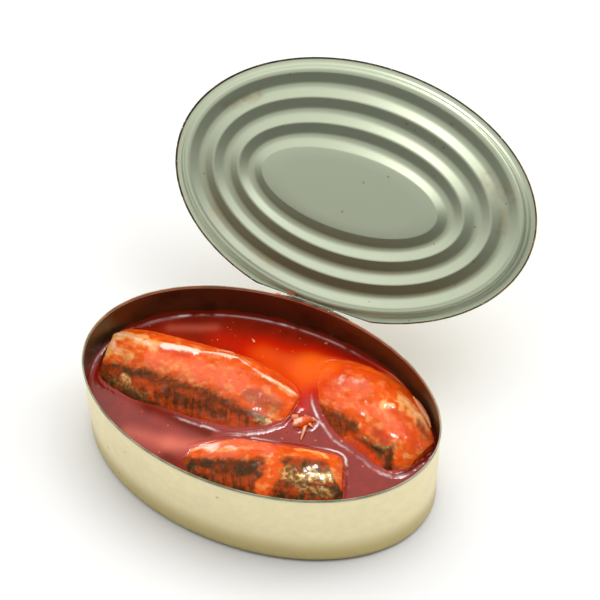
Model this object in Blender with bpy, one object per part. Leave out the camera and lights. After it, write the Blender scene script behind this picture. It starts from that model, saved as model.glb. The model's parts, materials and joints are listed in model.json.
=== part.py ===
"""Opened oval tin of mackerel in tomato sauce.

A drawn tinplate body holds sauce with three fish chunks and a loose flake standing in it.  The ribbed
lid has been cut round and bent back on a short uncut strip, which is its hinge.
Origin: centre of the flat base.  X runs along the oval, +Y points to the hinge, +Z up.  Metres.
"""
import math

import bmesh
import bpy
from mathutils import Vector

MM = 0.001

# Tin body: semi-axes are those of the lip, which stands a little proud of the wall
LIP_A = 79.7 * MM
LIP_B = 51.7 * MM
TIN_HEIGHT = 44.0 * MM
LIP_PROUD = 0.4 * MM
LIP_THICK = 0.85 * MM
LIP_DEPTH = 1.6 * MM
SHEET = 0.4 * MM
BASE_RADIUS = 3.0 * MM
TIN_SIDES = 64

# Lid, drawn shut on the tin and then opened
LID_A = 83.6 * MM
LID_B = 54.7 * MM
LID_SHEET = 0.4 * MM
CUT_EDGE_Z = TIN_HEIGHT + 0.6 * MM
STRIP_EDGE_Z = TIN_HEIGHT + 0.3 * MM
STRIP_HALF_WIDTH = 10.0 * MM
SEAM_TOP_Z = TIN_HEIGHT + 3.2 * MM
SEAM_RADIUS = 0.5 * MM
SEAM_UNDER_Z = TIN_HEIGHT + 0.75 * MM
SEAM_FOOT = 3.6 * MM
CHUCK_FOOT = 4.3 * MM
PANEL_Z = TIN_HEIGHT - 1.0 * MM
RIB_START = 6.0 * MM
RIB_PITCH = 10.65 * MM
RIB_DEPTH = 1.6 * MM
RIB_COUNT = 3
RIB_STEPS = 6
CENTRE_INSET = RIB_START + RIB_COUNT * RIB_PITCH
CENTRE_SHIFT = 1.7 * MM
END_STRETCH = 1.16
LID_SIDES = 56
HINGE_GAP = 0.15 * MM
HINGE_Y = LIP_B + HINGE_GAP
HINGE_Z = TIN_HEIGHT + HINGE_GAP
LID_OPEN = math.radians(138.7)

# Contents
SAUCE_LEVEL = 24.8 * MM
MENISCUS = 1.3 * MM
GAP = 0.3 * MM
WALL_CLEAR = 1.6 * MM
CHUNK_FLOOR = 3.0 * MM
WIDEST = 0.6
CHUNK_SIDES = 26
CHUNK_STATIONS = 13

# name: left end, right end (x, y), bow of the axis to +Y, half width, crest height, crest offset to +Y,
# slant of the left and right cut ends, height lost at each end, phase of the uneven flesh
CHUNKS = {
    "fish_back": dict(left=(-74.5, 0.5), right=(11.0, 5.5), bow=1.0, half=20.3, top=32.5, crest=6.0,
                      slant=(-0.10, 0.10), drop=(2.0, 4.5), narrow=(0.76, 0.52), phase=0.4),
    "fish_right": dict(left=(14.5, 24.5), right=(71.0, 9.5), bow=3.5, half=20.0, top=33.0, crest=4.0,
                       slant=(-0.70, 0.05), drop=(7.0, 4.0), narrow=(0.66, 0.74), phase=2.1),
    "fish_front": dict(left=(-20.5, -34.5), right=(46.0, -16.5), bow=-1.0, half=15.5, top=31.0, crest=2.0,
                       slant=(0.20, -0.15), drop=(5.5, 1.5), narrow=(0.42, 0.88), phase=4.0),
}
FLAKE = dict(left=(15.6, 1.2), right=(22.0, 6.0), bow=0.6, half=2.6, top=28.5, crest=0.3,
             slant=(0.0, 0.0), drop=(1.0, 1.5), narrow=(0.7, 0.5), phase=5.2)
FLAKE_FLOOR = 19.0 * MM
FLAKE_SIDES = 10
FLAKE_STATIONS = 6

GOLD_LACQUER = (0.79, 0.69, 0.42)
GREY_GREEN_LACQUER = (0.36, 0.41, 0.28)
TOMATO = (0.45, 0.06, 0.02)
FISH_FLESH = (0.72, 0.25, 0.10)


def material(name, colour, roughness, metallic):
    """One Principled finish."""
    finish = bpy.data.materials.new(name)
    finish.use_nodes = True
    shader = finish.node_tree.nodes["Principled BSDF"]
    shader.inputs["Base Color"].default_value = (*colour, 1.0)
    shader.inputs["Roughness"].default_value = roughness
    shader.inputs["Metallic"].default_value = metallic
    return finish


def oval(a, b, z, sides):
    """Points of an ellipse at height z."""
    turns = [2.0 * math.pi * i / sides for i in range(sides)]
    return [Vector((a * math.cos(t), b * math.sin(t), z)) for t in turns]


def mesh_of_rings(name, rings, finish, poles=None):
    """Closed body through rings of equal count, shut by flat caps or by the two pole points."""
    bm = bmesh.new()
    loops = [[bm.verts.new(point) for point in ring] for ring in rings]
    for lower, upper in zip(loops, loops[1:]):
        for i in range(len(lower)):
            j = (i + 1) % len(lower)
            bm.faces.new((lower[i], lower[j], upper[j], upper[i]))
    if poles is None:
        bm.faces.new(list(reversed(loops[0])))
        bm.faces.new(loops[-1])
    else:
        for loop, pole, flip in ((loops[0], poles[0], True), (loops[-1], poles[1], False)):
            tip = bm.verts.new(pole)
            for i in range(len(loop)):
                j = (i + 1) % len(loop)
                bm.faces.new((loop[j], loop[i], tip) if flip else (loop[i], loop[j], tip))
    bmesh.ops.triangulate(bm, faces=bm.faces[:])
    bmesh.ops.recalc_face_normals(bm, faces=bm.faces[:])
    mesh = bpy.data.meshes.new(name)
    bm.to_mesh(mesh)
    bm.free()
    mesh.shade_smooth()
    mesh.set_sharp_from_angle(angle=math.radians(40.0))
    mesh.materials.append(finish)
    body = bpy.data.objects.new(name, mesh)
    bpy.context.collection.objects.link(body)
    return body


def arc(centre, radius, start, end, steps):
    """Points (inset, height) on a circle from one angle to the other, in degrees."""
    angles = [math.radians(start + (end - start) * i / steps) for i in range(steps + 1)]
    return [(centre[0] + radius * math.cos(t), centre[1] + radius * math.sin(t)) for t in angles]


def tin_body():
    """Drawn oval body: flat base, rounded foot, straight wall and a small rolled lip."""
    foot = (LIP_PROUD + BASE_RADIUS, BASE_RADIUS)
    lip_root = TIN_HEIGHT - LIP_DEPTH
    lip = arc((LIP_THICK / 2.0, TIN_HEIGHT - LIP_THICK / 2.0), LIP_THICK / 2.0, 180.0, 0.0, 5)
    profile = arc(foot, BASE_RADIUS, 270.0, 180.0, 5)
    profile += [(LIP_PROUD, lip_root)] + lip + [(LIP_PROUD + SHEET, lip_root)]
    profile += arc(foot, BASE_RADIUS - SHEET, 180.0, 270.0, 4)
    rings = [oval(LIP_A - inset, LIP_B - inset, z, TIN_SIDES) for inset, z in profile]
    return mesh_of_rings("tin_body", rings, material("gold_lacquer", GOLD_LACQUER, 0.35, 0.6))


def seam_path():
    """Middle line of the seam's outer sheet, (inset, height), from the cut edge over the bend."""
    skirt = LID_SHEET / 2.0
    bend_z = SEAM_TOP_Z - LID_SHEET / 2.0 - SEAM_RADIUS
    path = [(skirt, CUT_EDGE_Z), (skirt, (CUT_EDGE_Z + bend_z) / 2.0)]
    return path + arc((skirt + SEAM_RADIUS, bend_z), SEAM_RADIUS, 180.0, 30.0, 4)


def panel_path():
    """Middle line of the panel, (inset, height), from the chuck wall over the ribs to the flat centre."""
    path = [(CHUCK_FOOT, PANEL_Z + 0.9 * MM), (CHUCK_FOOT + 0.5 * MM, PANEL_Z + 0.2 * MM)]
    path += [(CHUCK_FOOT + 1.1 * MM, PANEL_Z)]
    for i in range(RIB_COUNT * RIB_STEPS + 1):
        wave = 0.5 * (1.0 - math.cos(2.0 * math.pi * i / RIB_STEPS))
        path.append((RIB_START + RIB_PITCH * i / RIB_STEPS, PANEL_Z + RIB_DEPTH * wave))
    return path


def both_faces(path, thickness):
    """The two faces of a sheet whose middle line is path."""
    outer, inner = [], []
    for i, (d, z) in enumerate(path):
        before = path[max(i - 1, 0)]
        after = path[min(i + 1, len(path) - 1)]
        run, rise = after[0] - before[0], after[1] - before[1]
        length = math.hypot(run, rise)
        side = (-rise / length * thickness / 2.0, run / length * thickness / 2.0)
        outer.append((d + side[0], z + side[1]))
        inner.append((d - side[0], z - side[1]))
    return outer, inner


def lid_profile():
    """Section of the lid: out over its outer face, round the seam, whose folds are pressed into one
    thick roll with a flat underside, and back over its inner face."""
    seam, panel = seam_path(), panel_path()
    outer, inner = both_faces(seam + panel, LID_SHEET)
    underside = [(LID_SHEET, CUT_EDGE_Z), (1.5 * LID_SHEET, SEAM_UNDER_Z), (SEAM_FOOT, SEAM_UNDER_Z)]
    return outer[::-1] + underside + inner[len(seam):]


def lid_ring(inset, z):
    """One ring of the shut lid.  At the back the seam is pressed flat behind the hinge line.  The flat
    centre lies off the middle, towards the hinge, and the ribs round it follow by degrees."""
    ring = oval(LID_A - inset * END_STRETCH, LID_B - inset, z, LID_SIDES)
    outer = oval(LID_A, LID_B, z, LID_SIDES)
    inner = oval(LID_A - CHUCK_FOOT * END_STRETCH, LID_B - CHUCK_FOOT, z, LID_SIDES)
    limit = HINGE_Y - HINGE_GAP
    for point, edge, foot in zip(ring, outer, inner):
        if inset < CHUCK_FOOT and edge.y > limit:
            point.y = foot.y + (point.y - foot.y) * (limit - foot.y) / (edge.y - foot.y)
        point.y += CENTRE_SHIFT * max(0.0, inset - CHUCK_FOOT) / (CENTRE_INSET - CHUCK_FOOT)
        on_strip = point.y > 0.0 and abs(point.x) < STRIP_HALF_WIDTH
        if on_strip and inset <= LID_SHEET and z <= CUT_EDGE_Z:
            point.z = STRIP_EDGE_Z
    return ring


def lid():
    """Ribbed lid, its object turning about the fold line of the uncut strip."""
    rings = [lid_ring(inset, z) for inset, z in lid_profile()]
    hinge = Vector((0.0, HINGE_Y, HINGE_Z))
    rings = [[point - hinge for point in ring] for ring in rings]
    panel = mesh_of_rings("lid", rings, material("grey_green_lacquer", GREY_GREEN_LACQUER, 0.35, 0.5))
    panel.location = hinge
    panel.rotation_euler = (-LID_OPEN, 0.0, 0.0)
    return panel


def kept_off_wall(point, clearance):
    """The point, drawn in towards the middle where it would come too near the tin's wall."""
    a = LIP_A - LIP_PROUD - SHEET - clearance
    b = LIP_B - LIP_PROUD - SHEET - clearance
    reach = math.hypot(point.x / a, point.y / b)
    if reach > 1.0:
        point.x /= reach
        point.y /= reach
    return point


def end_shape(t, narrow):
    """Width and height of a chunk at t along it, 0 to 1: round shoulders and blunt cut ends."""
    left = min(1.0, t / 0.34)
    right = min(1.0, (1.0 - t) / 0.30)
    width = 1.0 - (1.0 - narrow[0]) * (1.0 - left) ** 2.0 - (1.0 - narrow[1]) * (1.0 - right) ** 2.0
    shoulder = min(1.0, min(t, 1.0 - t) / 0.06)
    return width * (0.84 + 0.16 * math.sqrt(shoulder * (2.0 - shoulder)))


def chunk(name, spec, floor, sides, stations, finish):
    """Lying piece of fish: a plump uneven section run along a bowed axis between two cut ends."""
    left = Vector(spec["left"]) * MM
    right = Vector(spec["right"]) * MM
    along = (right - left).normalized()
    across = Vector((-along.y, along.x))
    length = (right - left).length
    rings, middles = [], []
    for k in range(stations):
        t = 0.5 - 0.5 * math.cos(math.pi * k / (stations - 1))
        t = 0.35 * t + 0.65 * k / (stations - 1)
        size = end_shape(t, spec["narrow"])
        sink = spec["drop"][0] * (1.0 - min(1.0, t / 0.5)) ** 2 + spec["drop"][1] * max(0.0, t - 0.5) ** 2 * 4.0
        top = spec["top"] * MM - sink * MM
        middle_z = floor + WIDEST * (top - floor)
        middle = left.lerp(right, t) + across * spec["bow"] * MM * math.sin(math.pi * t)
        ring = []
        for i in range(sides):
            turn = 2.0 * math.pi * i / sides
            side, lift = math.cos(turn), math.sin(turn)
            uneven = 1.0 + 0.025 * math.sin(3.0 * turn + spec["phase"] + 5.0 * t)
            uneven += 0.018 * math.sin(9.0 * t + spec["phase"] + 2.0 * side)
            plump = math.copysign(abs(side) ** 0.86, side)
            offset = plump * spec["half"] * MM * size * uneven
            offset += spec["crest"] * MM * max(0.0, lift) ** 1.5
            reach = (top - middle_z) * (0.9 + 0.1 * size) if lift > 0.0 else middle_z - floor
            height = math.copysign(abs(lift) ** 0.9, lift) * reach
            skew = spec["slant"][0] * (1.0 - t) + spec["slant"][1] * t
            place = middle + across * offset + along * (offset * skew)
            point = Vector((place.x, place.y, middle_z + height))
            ring.append(kept_off_wall(point, WALL_CLEAR))
        rings.append(ring)
        middles.append(Vector((middle.x, middle.y, middle_z)))
    bulge = Vector((along.x, along.y, 0.0)) * min(1.2 * MM, 0.1 * length)
    poles = (kept_off_wall(middles[0] - bulge, WALL_CLEAR), kept_off_wall(middles[-1] + bulge, WALL_CLEAR))
    return mesh_of_rings(name, rings, finish, poles)


def grown(body, amount):
    """Hidden cutter: a copy of the body whose skin stands out by the amount."""
    mesh = body.data.copy()
    normals = [vertex.normal.copy() for vertex in mesh.vertices]
    for vertex, normal in zip(mesh.vertices, normals):
        vertex.co += normal * amount
    cutter = bpy.data.objects.new("pocket_" + body.name, mesh)
    cutter.hide_render = True
    cutter.display_type = "WIRE"
    bpy.context.collection.objects.link(cutter)
    return cutter


def sauce(standing):
    """Tomato sauce up to its level, creeping up the wall, with a pocket for each piece in it."""
    inset = LIP_PROUD + SHEET + GAP
    foot = (LIP_PROUD + BASE_RADIUS, BASE_RADIUS)
    profile = arc(foot, BASE_RADIUS - SHEET - GAP, 270.0, 180.0, 3)
    profile += [(inset, SAUCE_LEVEL + MENISCUS), (inset + 0.35 * MM, SAUCE_LEVEL + MENISCUS * 0.9)]
    profile += [(inset + 1.2 * MM, SAUCE_LEVEL + MENISCUS * 0.3), (inset + 3.0 * MM, SAUCE_LEVEL)]
    rings = [oval(LIP_A - d, LIP_B - d, z, TIN_SIDES) for d, z in profile]
    pool = mesh_of_rings("sauce", rings, material("tomato_sauce", TOMATO, 0.12, 0.0))
    for piece in standing:
        pocket = pool.modifiers.new("pocket_" + piece.name, "BOOLEAN")
        pocket.operation = "DIFFERENCE"
        pocket.solver = "EXACT"
        pocket.object = grown(piece, GAP)
    return pool


def main():
    for item in list(bpy.data.objects):
        bpy.data.objects.remove(item, do_unlink=True)
    tin_body()
    lid()
    flesh = material("fish_flesh", FISH_FLESH, 0.35, 0.0)
    standing = [chunk(name, spec, CHUNK_FLOOR, CHUNK_SIDES, CHUNK_STATIONS, flesh)
                for name, spec in CHUNKS.items()]
    standing.append(chunk("fish_flake", FLAKE, FLAKE_FLOOR, FLAKE_SIDES, FLAKE_STATIONS, flesh))
    sauce(standing)


main()
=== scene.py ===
"""Opened oval tin of mackerel in tomato sauce: the finished surfaces, built in the tin's own frame.

Origin: centre of the flat base.  X runs along the oval, +Y points to the hinge, +Z up.  Metres.
The file is laid out as an add-on: each operator makes one piece, and main() calls them in order.
"""
import json
import math

import bmesh
import bpy
import numpy as np
from bpy.props import FloatProperty, FloatVectorProperty, IntProperty, PointerProperty
from mathutils import Matrix, Vector, bvhtree, kdtree, noise


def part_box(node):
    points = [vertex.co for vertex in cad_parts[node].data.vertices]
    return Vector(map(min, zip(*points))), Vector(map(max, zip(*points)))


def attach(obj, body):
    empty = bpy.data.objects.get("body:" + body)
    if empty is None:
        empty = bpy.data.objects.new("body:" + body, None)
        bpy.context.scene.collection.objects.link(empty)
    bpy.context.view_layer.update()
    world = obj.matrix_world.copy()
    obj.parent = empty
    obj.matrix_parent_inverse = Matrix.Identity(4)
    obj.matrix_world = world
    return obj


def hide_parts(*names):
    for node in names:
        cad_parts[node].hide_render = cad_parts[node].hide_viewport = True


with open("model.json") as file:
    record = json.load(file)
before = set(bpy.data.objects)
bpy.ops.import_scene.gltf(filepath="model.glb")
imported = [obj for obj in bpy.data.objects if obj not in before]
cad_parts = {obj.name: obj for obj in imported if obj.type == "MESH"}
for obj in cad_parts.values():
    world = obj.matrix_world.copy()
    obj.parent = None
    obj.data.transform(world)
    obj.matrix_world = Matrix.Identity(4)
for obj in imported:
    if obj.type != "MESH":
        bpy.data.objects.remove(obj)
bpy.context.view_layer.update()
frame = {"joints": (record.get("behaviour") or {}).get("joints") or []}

bl_info = {
    "name": "Tin of mackerel",
    "version": (1, 0, 0),
    "blender": (4, 5, 0),
    "location": "View3D > Sidebar > Mackerel Tin",
    "description": "Builds an opened oval tin of mackerel chunks in tomato sauce",
    "category": "Add Mesh",
}

MM = 0.001
TAU = 2.0 * math.pi

TIN_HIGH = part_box("tin_body")[1]
LID_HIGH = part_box("lid")[1]
HINGE = frame["joints"][0]
HINGE_POINT = Vector(HINGE["pos_m"])
LID_OPEN = -math.radians(HINGE["range_deg"][0])
RIM_Z = 44.0 * MM
# Below the lip's top: where its outer curve passes into the inner one, and where its inner edge ends
LIP_DIP = 0.036 * MM
LIP_EDGE = 0.9 * MM
# The lid's ribs: steps over each, and the rounding of crests and valleys in shares of the height
RIB_STEPS = 30
CREST_ROUND = 0.30
VALLEY_ROUND = 0.08
# The lid's torn edge: depth, and size of the teeth
TORN_DEPTH = 0.3 * MM
TORN_SIZE = 1.3 * MM
LID_FINISHES = ("Outside", "Inside", "Cut edge")

# Chunks: left end, right end (x, y in mm), bow of the axis to +Y, half width, top, crest offset to +Y,
# slant of the cut ends, height lost at each end, narrowing of each end, phase of the uneven flesh, height
# of the underside, and where they differ the size and share of the lumps and the share of the steps
CHUNKS = {
    "fish_back": dict(left=(-74.5, 0.5), right=(11.0, 5.5), bow=1.0, half=20.3, top=32.5, crest=6.0,
                      slant=(-0.10, 0.10), drop=(2.0, 4.5), narrow=(0.76, 0.52), phase=0.4, floor=3.0),
    "fish_right": dict(left=(14.5, 24.5), right=(71.0, 9.5), bow=3.5, half=20.0, top=33.0, crest=4.0,
                       slant=(-0.70, 0.05), drop=(7.0, 4.0), narrow=(0.66, 0.74), phase=2.1, floor=3.0),
    "fish_front": dict(left=(-20.5, -34.5), right=(46.0, -16.5), bow=-1.0, half=15.5, top=31.0, crest=2.0,
                       slant=(0.20, -0.15), drop=(5.5, 1.5), narrow=(0.42, 0.88), phase=4.0, floor=3.0),
    "fish_flake": dict(left=(15.6, 1.2), right=(22.0, 6.0), bow=0.6, half=2.6, top=28.5, crest=0.3,
                       slant=(0.0, 0.0), drop=(1.0, 1.5), narrow=(0.7, 0.5), phase=5.2, floor=19.0,
                       lump_size=2.6, lump_share=1.5, detail=0.3),
}

# Paint on the chunks.  A place is (t along the chunk, turn round its section in degrees: 0 back,
# 90 top, 180 front).  skin_edge holds the places where the skin starts; every other entry is brush
# strokes (t, turn, t, turn, half width in degrees, strength).
# In these tables pale paints highlights: the white-pink streaks and glints where the wet flesh catches the
# light.
PAINT = {
    "fish_back": dict(
        skin_edge=[(0.0, 131), (0.05, 121), (0.1, 117), (0.2, 113), (0.3, 112), (0.4, 114), (0.6, 117),
                   (0.75, 120), (0.9, 124), (0.94, 130), (0.97, 150), (1.0, 175)],
        cream=[(0.0, 78, 0.0, 118, 6, 1.0), (0.03, 76, 0.14, 80, 8, 1.0), (0.14, 84, 0.24, 86, 5, 0.9),
               (0.04, 104, 0.12, 106, 8, 0.6), (0.8, 80, 0.9, 80, 3, 0.8), (0.9, 79, 0.98, 76, 6, 1.0),
               (0.26, 82, 0.62, 68, 2.5, 0.8), (0.34, 106, 0.5, 112, 6, 0.35),
               (0.93, 118, 0.98, 132, 5, 0.5)],
        pink=[(0.24, 98, 0.9, 99, 10, 1.0), (0.62, 96, 0.86, 100, 12, 1.0), (0.26, 82, 0.55, 72, 4, 1.0)],
        film=[(0.1, 52, 0.33, 46, 10, 1.0), (0.35, 60, 0.5, 52, 7, 0.35), (0.84, 50, 0.98, 52, 9, 0.8),
              (0.26, 88, 0.42, 88, 2, 0.5)],
        stripes=[(0.36, 140, 0.85, 141, 8, 0.7), (0.36, 152, 0.6, 155, 6, 0.5)],
        rust=[(0.05, 136, 0.3, 134, 6, 0.35), (0.22, 132, 0.34, 138, 6, 0.9), (0.34, 146, 0.85, 150, 12, 1.0),
              (0.28, 127, 0.85, 130, 7, 0.55), (0.5, 136, 0.85, 138, 8, 0.6)],
        silver=[(0.26, 113, 0.34, 115, 3, 0.6), (0.14, 132, 0.18, 137, 4, 1.0),
                (0.28, 144, 0.31, 142, 3, 1.0), (0.1, 142, 0.3, 152, 6, 0.45),
                (0.85, 129, 0.88, 127, 2, 0.9), (0.88, 134, 0.95, 136, 5, 1.0),
                (0.65, 150, 0.66, 150, 2, 1.0),
                (0.82, 150, 0.83, 150, 2, 1.0)],
        dark=[(0.78, 104, 0.92, 108, 9, 0.95), (0.26, 120, 0.6, 124, 6, 0.6), (0.6, 125, 0.88, 130, 5, 0.7),
              (0.02, 127, 0.3, 121, 4, 0.4),
              (0.1, 110, 0.75, 116, 6, 0.45), (0.38, 141, 0.7, 143, 7, 0.75),
              (0.2, 156, 0.34, 158, 8, 0.8), (0.64, 166, 0.82, 156, 4, 0.9)],
        wet=[(0.04, 78, 0.24, 87, 3, 1.0), (0.28, 82, 0.42, 80, 4, 1.0), (0.42, 80, 0.62, 68, 3, 1.0),
             (0.66, 150, 0.85, 147, 6, 0.4), (0.85, 128, 0.95, 136, 7, 1.0)],
        ridge=[(0.0, 76, 0.22, 86, 5, 0.6), (0.22, 84, 0.42, 79, 5, 1.0), (0.42, 79, 0.58, 71, 4, 1.0),
               (0.58, 71, 0.66, 64, 4, 0.9), (0.66, 63, 0.74, 63, 4, 0.7), (0.74, 63, 0.8, 79, 4, 0.7),
               (0.8, 79, 0.98, 76, 5, 1.0)],
        pale=[(0.03, 77, 0.2, 86, 2.5, 0.55), (0.27, 83, 0.44, 78, 3, 1.0), (0.44, 78, 0.64, 66, 1.4, 1.0),
              (0.64, 66, 0.8, 79, 1.2, 0.45), (0.8, 80, 0.98, 76, 2.5, 0.6), (0.02, 90, 0.05, 105, 4, 0.3),
              (0.85, 129, 0.87, 128, 1.2, 0.9), (0.9, 135, 0.94, 135, 1.5, 0.8)],
        bare=[(0.97, 120, 1.0, 150, 8, 1.0)]),
    "fish_right": dict(
        skin_edge=[(0.0, 124), (0.2, 124), (0.4, 128), (0.5, 136), (0.6, 138), (0.7, 131), (0.8, 120),
                   (0.86, 134), (0.93, 148), (1.0, 150)],
        cream=[(0.68, 76, 0.79, 74, 9, 1.0), (0.56, 93, 0.64, 88, 3, 0.9), (0.5, 120, 0.62, 116, 5, 0.5),
               (0.45, 132, 0.56, 124, 4, 0.4), (0.83, 72, 0.92, 77, 2.5, 0.7), (0.84, 120, 0.9, 122, 6, 0.3)],
        pink=[(0.12, 108, 0.45, 112, 9, 0.75), (0.24, 94, 0.34, 88, 7, 0.6), (0.56, 104, 0.76, 106, 9, 0.9)],
        film=[(0.14, 46, 0.6, 48, 11, 1.0), (0.3, 57, 0.58, 57, 9, 0.8), (0.0, 98, 0.08, 96, 8, 0.5),
              (0.5, 127, 0.74, 124, 6, 0.6),
              (0.42, 156, 0.76, 154, 9, 0.62),
              (0.78, 96, 0.9, 100, 7, 0.35)],
        stripes=[(0.0, 140, 0.3, 146, 10, 0.4)],
        rust=[(0.0, 136, 0.45, 150, 12, 0.6)],
        silver=[(0.54, 141, 0.62, 145, 2.5, 0.8), (0.66, 139, 0.72, 133, 3, 0.9),
                (0.74, 131, 0.83, 122, 4, 0.9)],
        dark=[(0.8, 124, 0.84, 140, 4, 1.0), (0.83, 148, 0.92, 152, 8, 1.0), (0.46, 148, 0.6, 143, 3, 0.9),
              (0.6, 147, 0.72, 136, 3, 0.8), (0.1, 136, 0.42, 141, 6, 0.5),
              (0.84, 81, 0.96, 85, 3, 1.0), (0.04, 129, 0.42, 133, 6, 0.5), (0.42, 154, 0.62, 152, 7, 0.45),
              (0.6, 128, 0.74, 125, 6, 0.75)],
        wet=[(0.58, 93, 0.64, 88, 3, 0.9), (0.45, 117, 0.46, 117, 3, 1.0), (0.74, 114, 0.79, 112, 4, 1.0),
             (0.2, 90, 0.4, 90, 8, 0.6)],
        ridge=[(0.56, 94, 0.66, 87, 4, 0.8), (0.68, 84, 0.82, 84, 5, 1.0), (0.83, 72, 0.95, 77, 3, 1.0),
               (0.46, 146, 0.6, 142, 3, 0.8), (0.6, 144, 0.72, 134, 3, 0.9), (0.72, 134, 0.8, 121, 4, 1.0),
               (0.8, 121, 0.86, 145, 4, 1.0), (0.42, 118, 0.48, 116, 3, 0.7), (0.74, 114, 0.79, 112, 4, 0.8)],
        pale=[(0.6, 90, 0.63, 89, 1.6, 1.0), (0.44, 117, 0.46, 117, 1.6, 1.0),
              (0.75, 114, 0.78, 112, 1.8, 1.0),
              (0.2, 88, 0.34, 86, 4, 0.3), (0.7, 74, 0.78, 74, 4, 0.35)],
        bare=[(0.4, 156, 0.76, 154, 9, 1.0), (0.88, 112, 0.92, 122, 14, 1.0)]),
    "fish_front": dict(
        skin_edge=[(0.0, 92), (0.1, 96), (0.2, 95), (0.3, 93), (0.45, 90), (0.5, 84), (0.55, 78), (0.9, 76),
                   (0.93, 88), (0.96, 104), (1.0, 124)],
        cream=[(0.72, 46, 0.82, 48, 9, 0.8), (0.87, 52, 0.9, 66, 4, 0.9), (0.06, 78, 0.34, 82, 4, 0.5),
               (0.94, 92, 0.97, 96, 5, 0.4), (0.57, 94, 0.566, 128, 3, 0.3)],
        # The broad pink over this chunk's back is partly a painted sheen of the sauce film.
        pink=[(0.0, 66, 0.5, 60, 22, 1.0), (0.0, 60, 0.3, 70, 24, 1.0)],
        film=[(0.12, 56, 0.17, 62, 6, 0.6), (0.58, 46, 0.68, 44, 12, 0.5), (0.38, 80, 0.5, 76, 2, 0.7)],
        stripes=[(0.2, 126, 0.5, 130, 9, 0.6)],
        rust=[(0.26, 94, 0.3, 96, 4, 0.9), (0.18, 122, 0.5, 130, 7, 0.7), (0.42, 88, 0.52, 92, 4, 0.6),
              (0.64, 82, 0.86, 78, 6, 0.5), (0.64, 126, 0.74, 132, 5, 0.6)],
        silver=[(0.64, 104, 0.74, 112, 9, 0.8), (0.76, 106, 0.92, 100, 9, 1.0),
                (0.76, 122, 0.92, 128, 8, 0.6),
                (0.54, 84, 0.62, 84, 5, 0.7)],
        dark=[(0.13, 104, 0.5, 104, 11, 0.9), (0.64, 122, 0.72, 120, 5, 0.6), (0.74, 118, 0.78, 114, 3, 0.7),
              (1.0, 60, 1.0, 130, 8, 0.5)],
        wet=[(0.8, 98, 0.9, 98, 8, 0.8), (0.0, 56, 0.5, 56, 14, 0.75)],
        ridge=[(0.36, 82, 0.54, 76, 3, 0.5), (0.54, 76, 0.9, 74, 4, 0.6), (0.9, 74, 0.93, 102, 5, 0.5)],
        pale=[(0.02, 64, 0.18, 72, 9, 0.65), (0.18, 72, 0.32, 76, 5, 0.3)],
        bare=[(0.575, 90, 0.585, 104, 15, 1.0), (0.575, 106, 0.56, 134, 12, 1.0)]),
    "fish_flake": dict(
        skin_edge=[(0.0, 400), (1.0, 400)], pale=[(0.1, 90, 0.35, 100, 24, 0.6)],
        pink=[(0.1, 90, 0.6, 110, 40, 0.4)], wet=[(0.0, 90, 1.0, 90, 30, 1.0)]),
}
# Where the sauce lies thin over flesh: strokes in mm (x, y, x, y, half width, strength)
THIN_SAUCE = [(8, 34, 42, 36, 7.5, 0.95), (-14, 32, 8, 33, 8, 0.5), (-34, 30, -12, 31, 7, 0.28),
              (-6, 22, 12, 24, 6, 0.45), (8, 18, 14, 12, 4, 0.35), (42, 38, 62, 28, 5, 0.6)]
# Where the sauce is rosy, partly thin sauce over pale flesh and partly a painted sheen of the sky mirrored in
# it, the same way
PINK_SAUCE = [(-46, -31, -28, -29, 3.2, 0.45), (-28, -29, -10, -24.5, 3.4, 0.62),
              (-58, 27, -40, 36, 2.0, 0.4)]
# Where the sauce is darker along the fish's edges: partly the fish's dark side showing through, partly
# painted shadow
MURK_AND_SHADOW = [(67.5, -1, 71.5, 10, 1.6, 0.8), (-66, -9, -45, -15.5, 2.6, 0.9), (-45, -15.5, -16, -17.5, 2.6, 0.9),
        (-26, -35.5, -16, -38, 3, 0.85)]
# Where the pool mirrors the sky though it lies in the back half, the same way
MAUVE = [(-59, 24, -40, 38, 3.4, 0.85), (-69, 20, -57, 33, 2.6, 0.5), (4, 16, 18, 12, 5, 0.6)]
# White lines of light where the sauce climbs the fish and the wall, the same way
GLEAM = [(20, 16, 26, 3, 3, 1.0), (29, 0, 52, -9, 3, 1.0), (52, -9, 68, -6, 3, 0.7),
         (-28, -18, -16, -16, 2.5, 0.8),
         (-2, -12, 9, -6, 3, 0.9)]
WALL_GLEAM = [(-80, -8, -76, 12, 3, 0.5), (-76, 12, -55, 34, 4, 0.5), (-55, 34, -10, 48, 4, 0.9),
              (-10, 48, 20, 48, 3, 0.5)]
# Golden-brown stains on the lid's inner face, the same way, with the lid shut
LID_STAINS = [(-66, -17, -53, -27, 2.2, 0.6), (56, -22, 67, -18, 3.4, 0.5), (68, -12, 69, -3, 2.4, 0.45),
              (-32, 39, -22, 43, 2, 0.6), (-57, 27, -50, 34, 2, 0.4)]
# A stroke's full core and its fall, in half widths, and the fall of a wash
STROKE_CORE, STROKE_FALL, WASH_FALL = 1.3, 0.72, 0.7
# Kinds of paint, in the order in which a chunk takes them
BRUSHES = ("cream", "film", "pink", "stripes", "silver", "dark", "rust", "wet", "pale", "ridge", "bare")
# Turns in degrees: where the skin ends underneath, from and to where it covers the foot of the back, and
# the skin_edge that stands for no skin there
SKIN_UNDER, FOOT_FROM, FOOT_TO, NO_SKIN = 315.0, 345.0, 34.0, 360.0
# Height in mm up to which thin sauce clings to the fish, and how far below it the film is whole
FILM_TOP, FILM_FADE = 33.45, 5.5
# A chunk's section is widest at this share of its height; its ends narrow over these shares of its length
WIDEST = 0.6
LEFT_END, RIGHT_END, SHOULDER = 0.34, 0.30, 0.06
# The wall's inner face and the fish's distance from it
WALL_INSIDE = 0.8 * MM
WALL_CLEAR = 1.6 * MM
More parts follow.
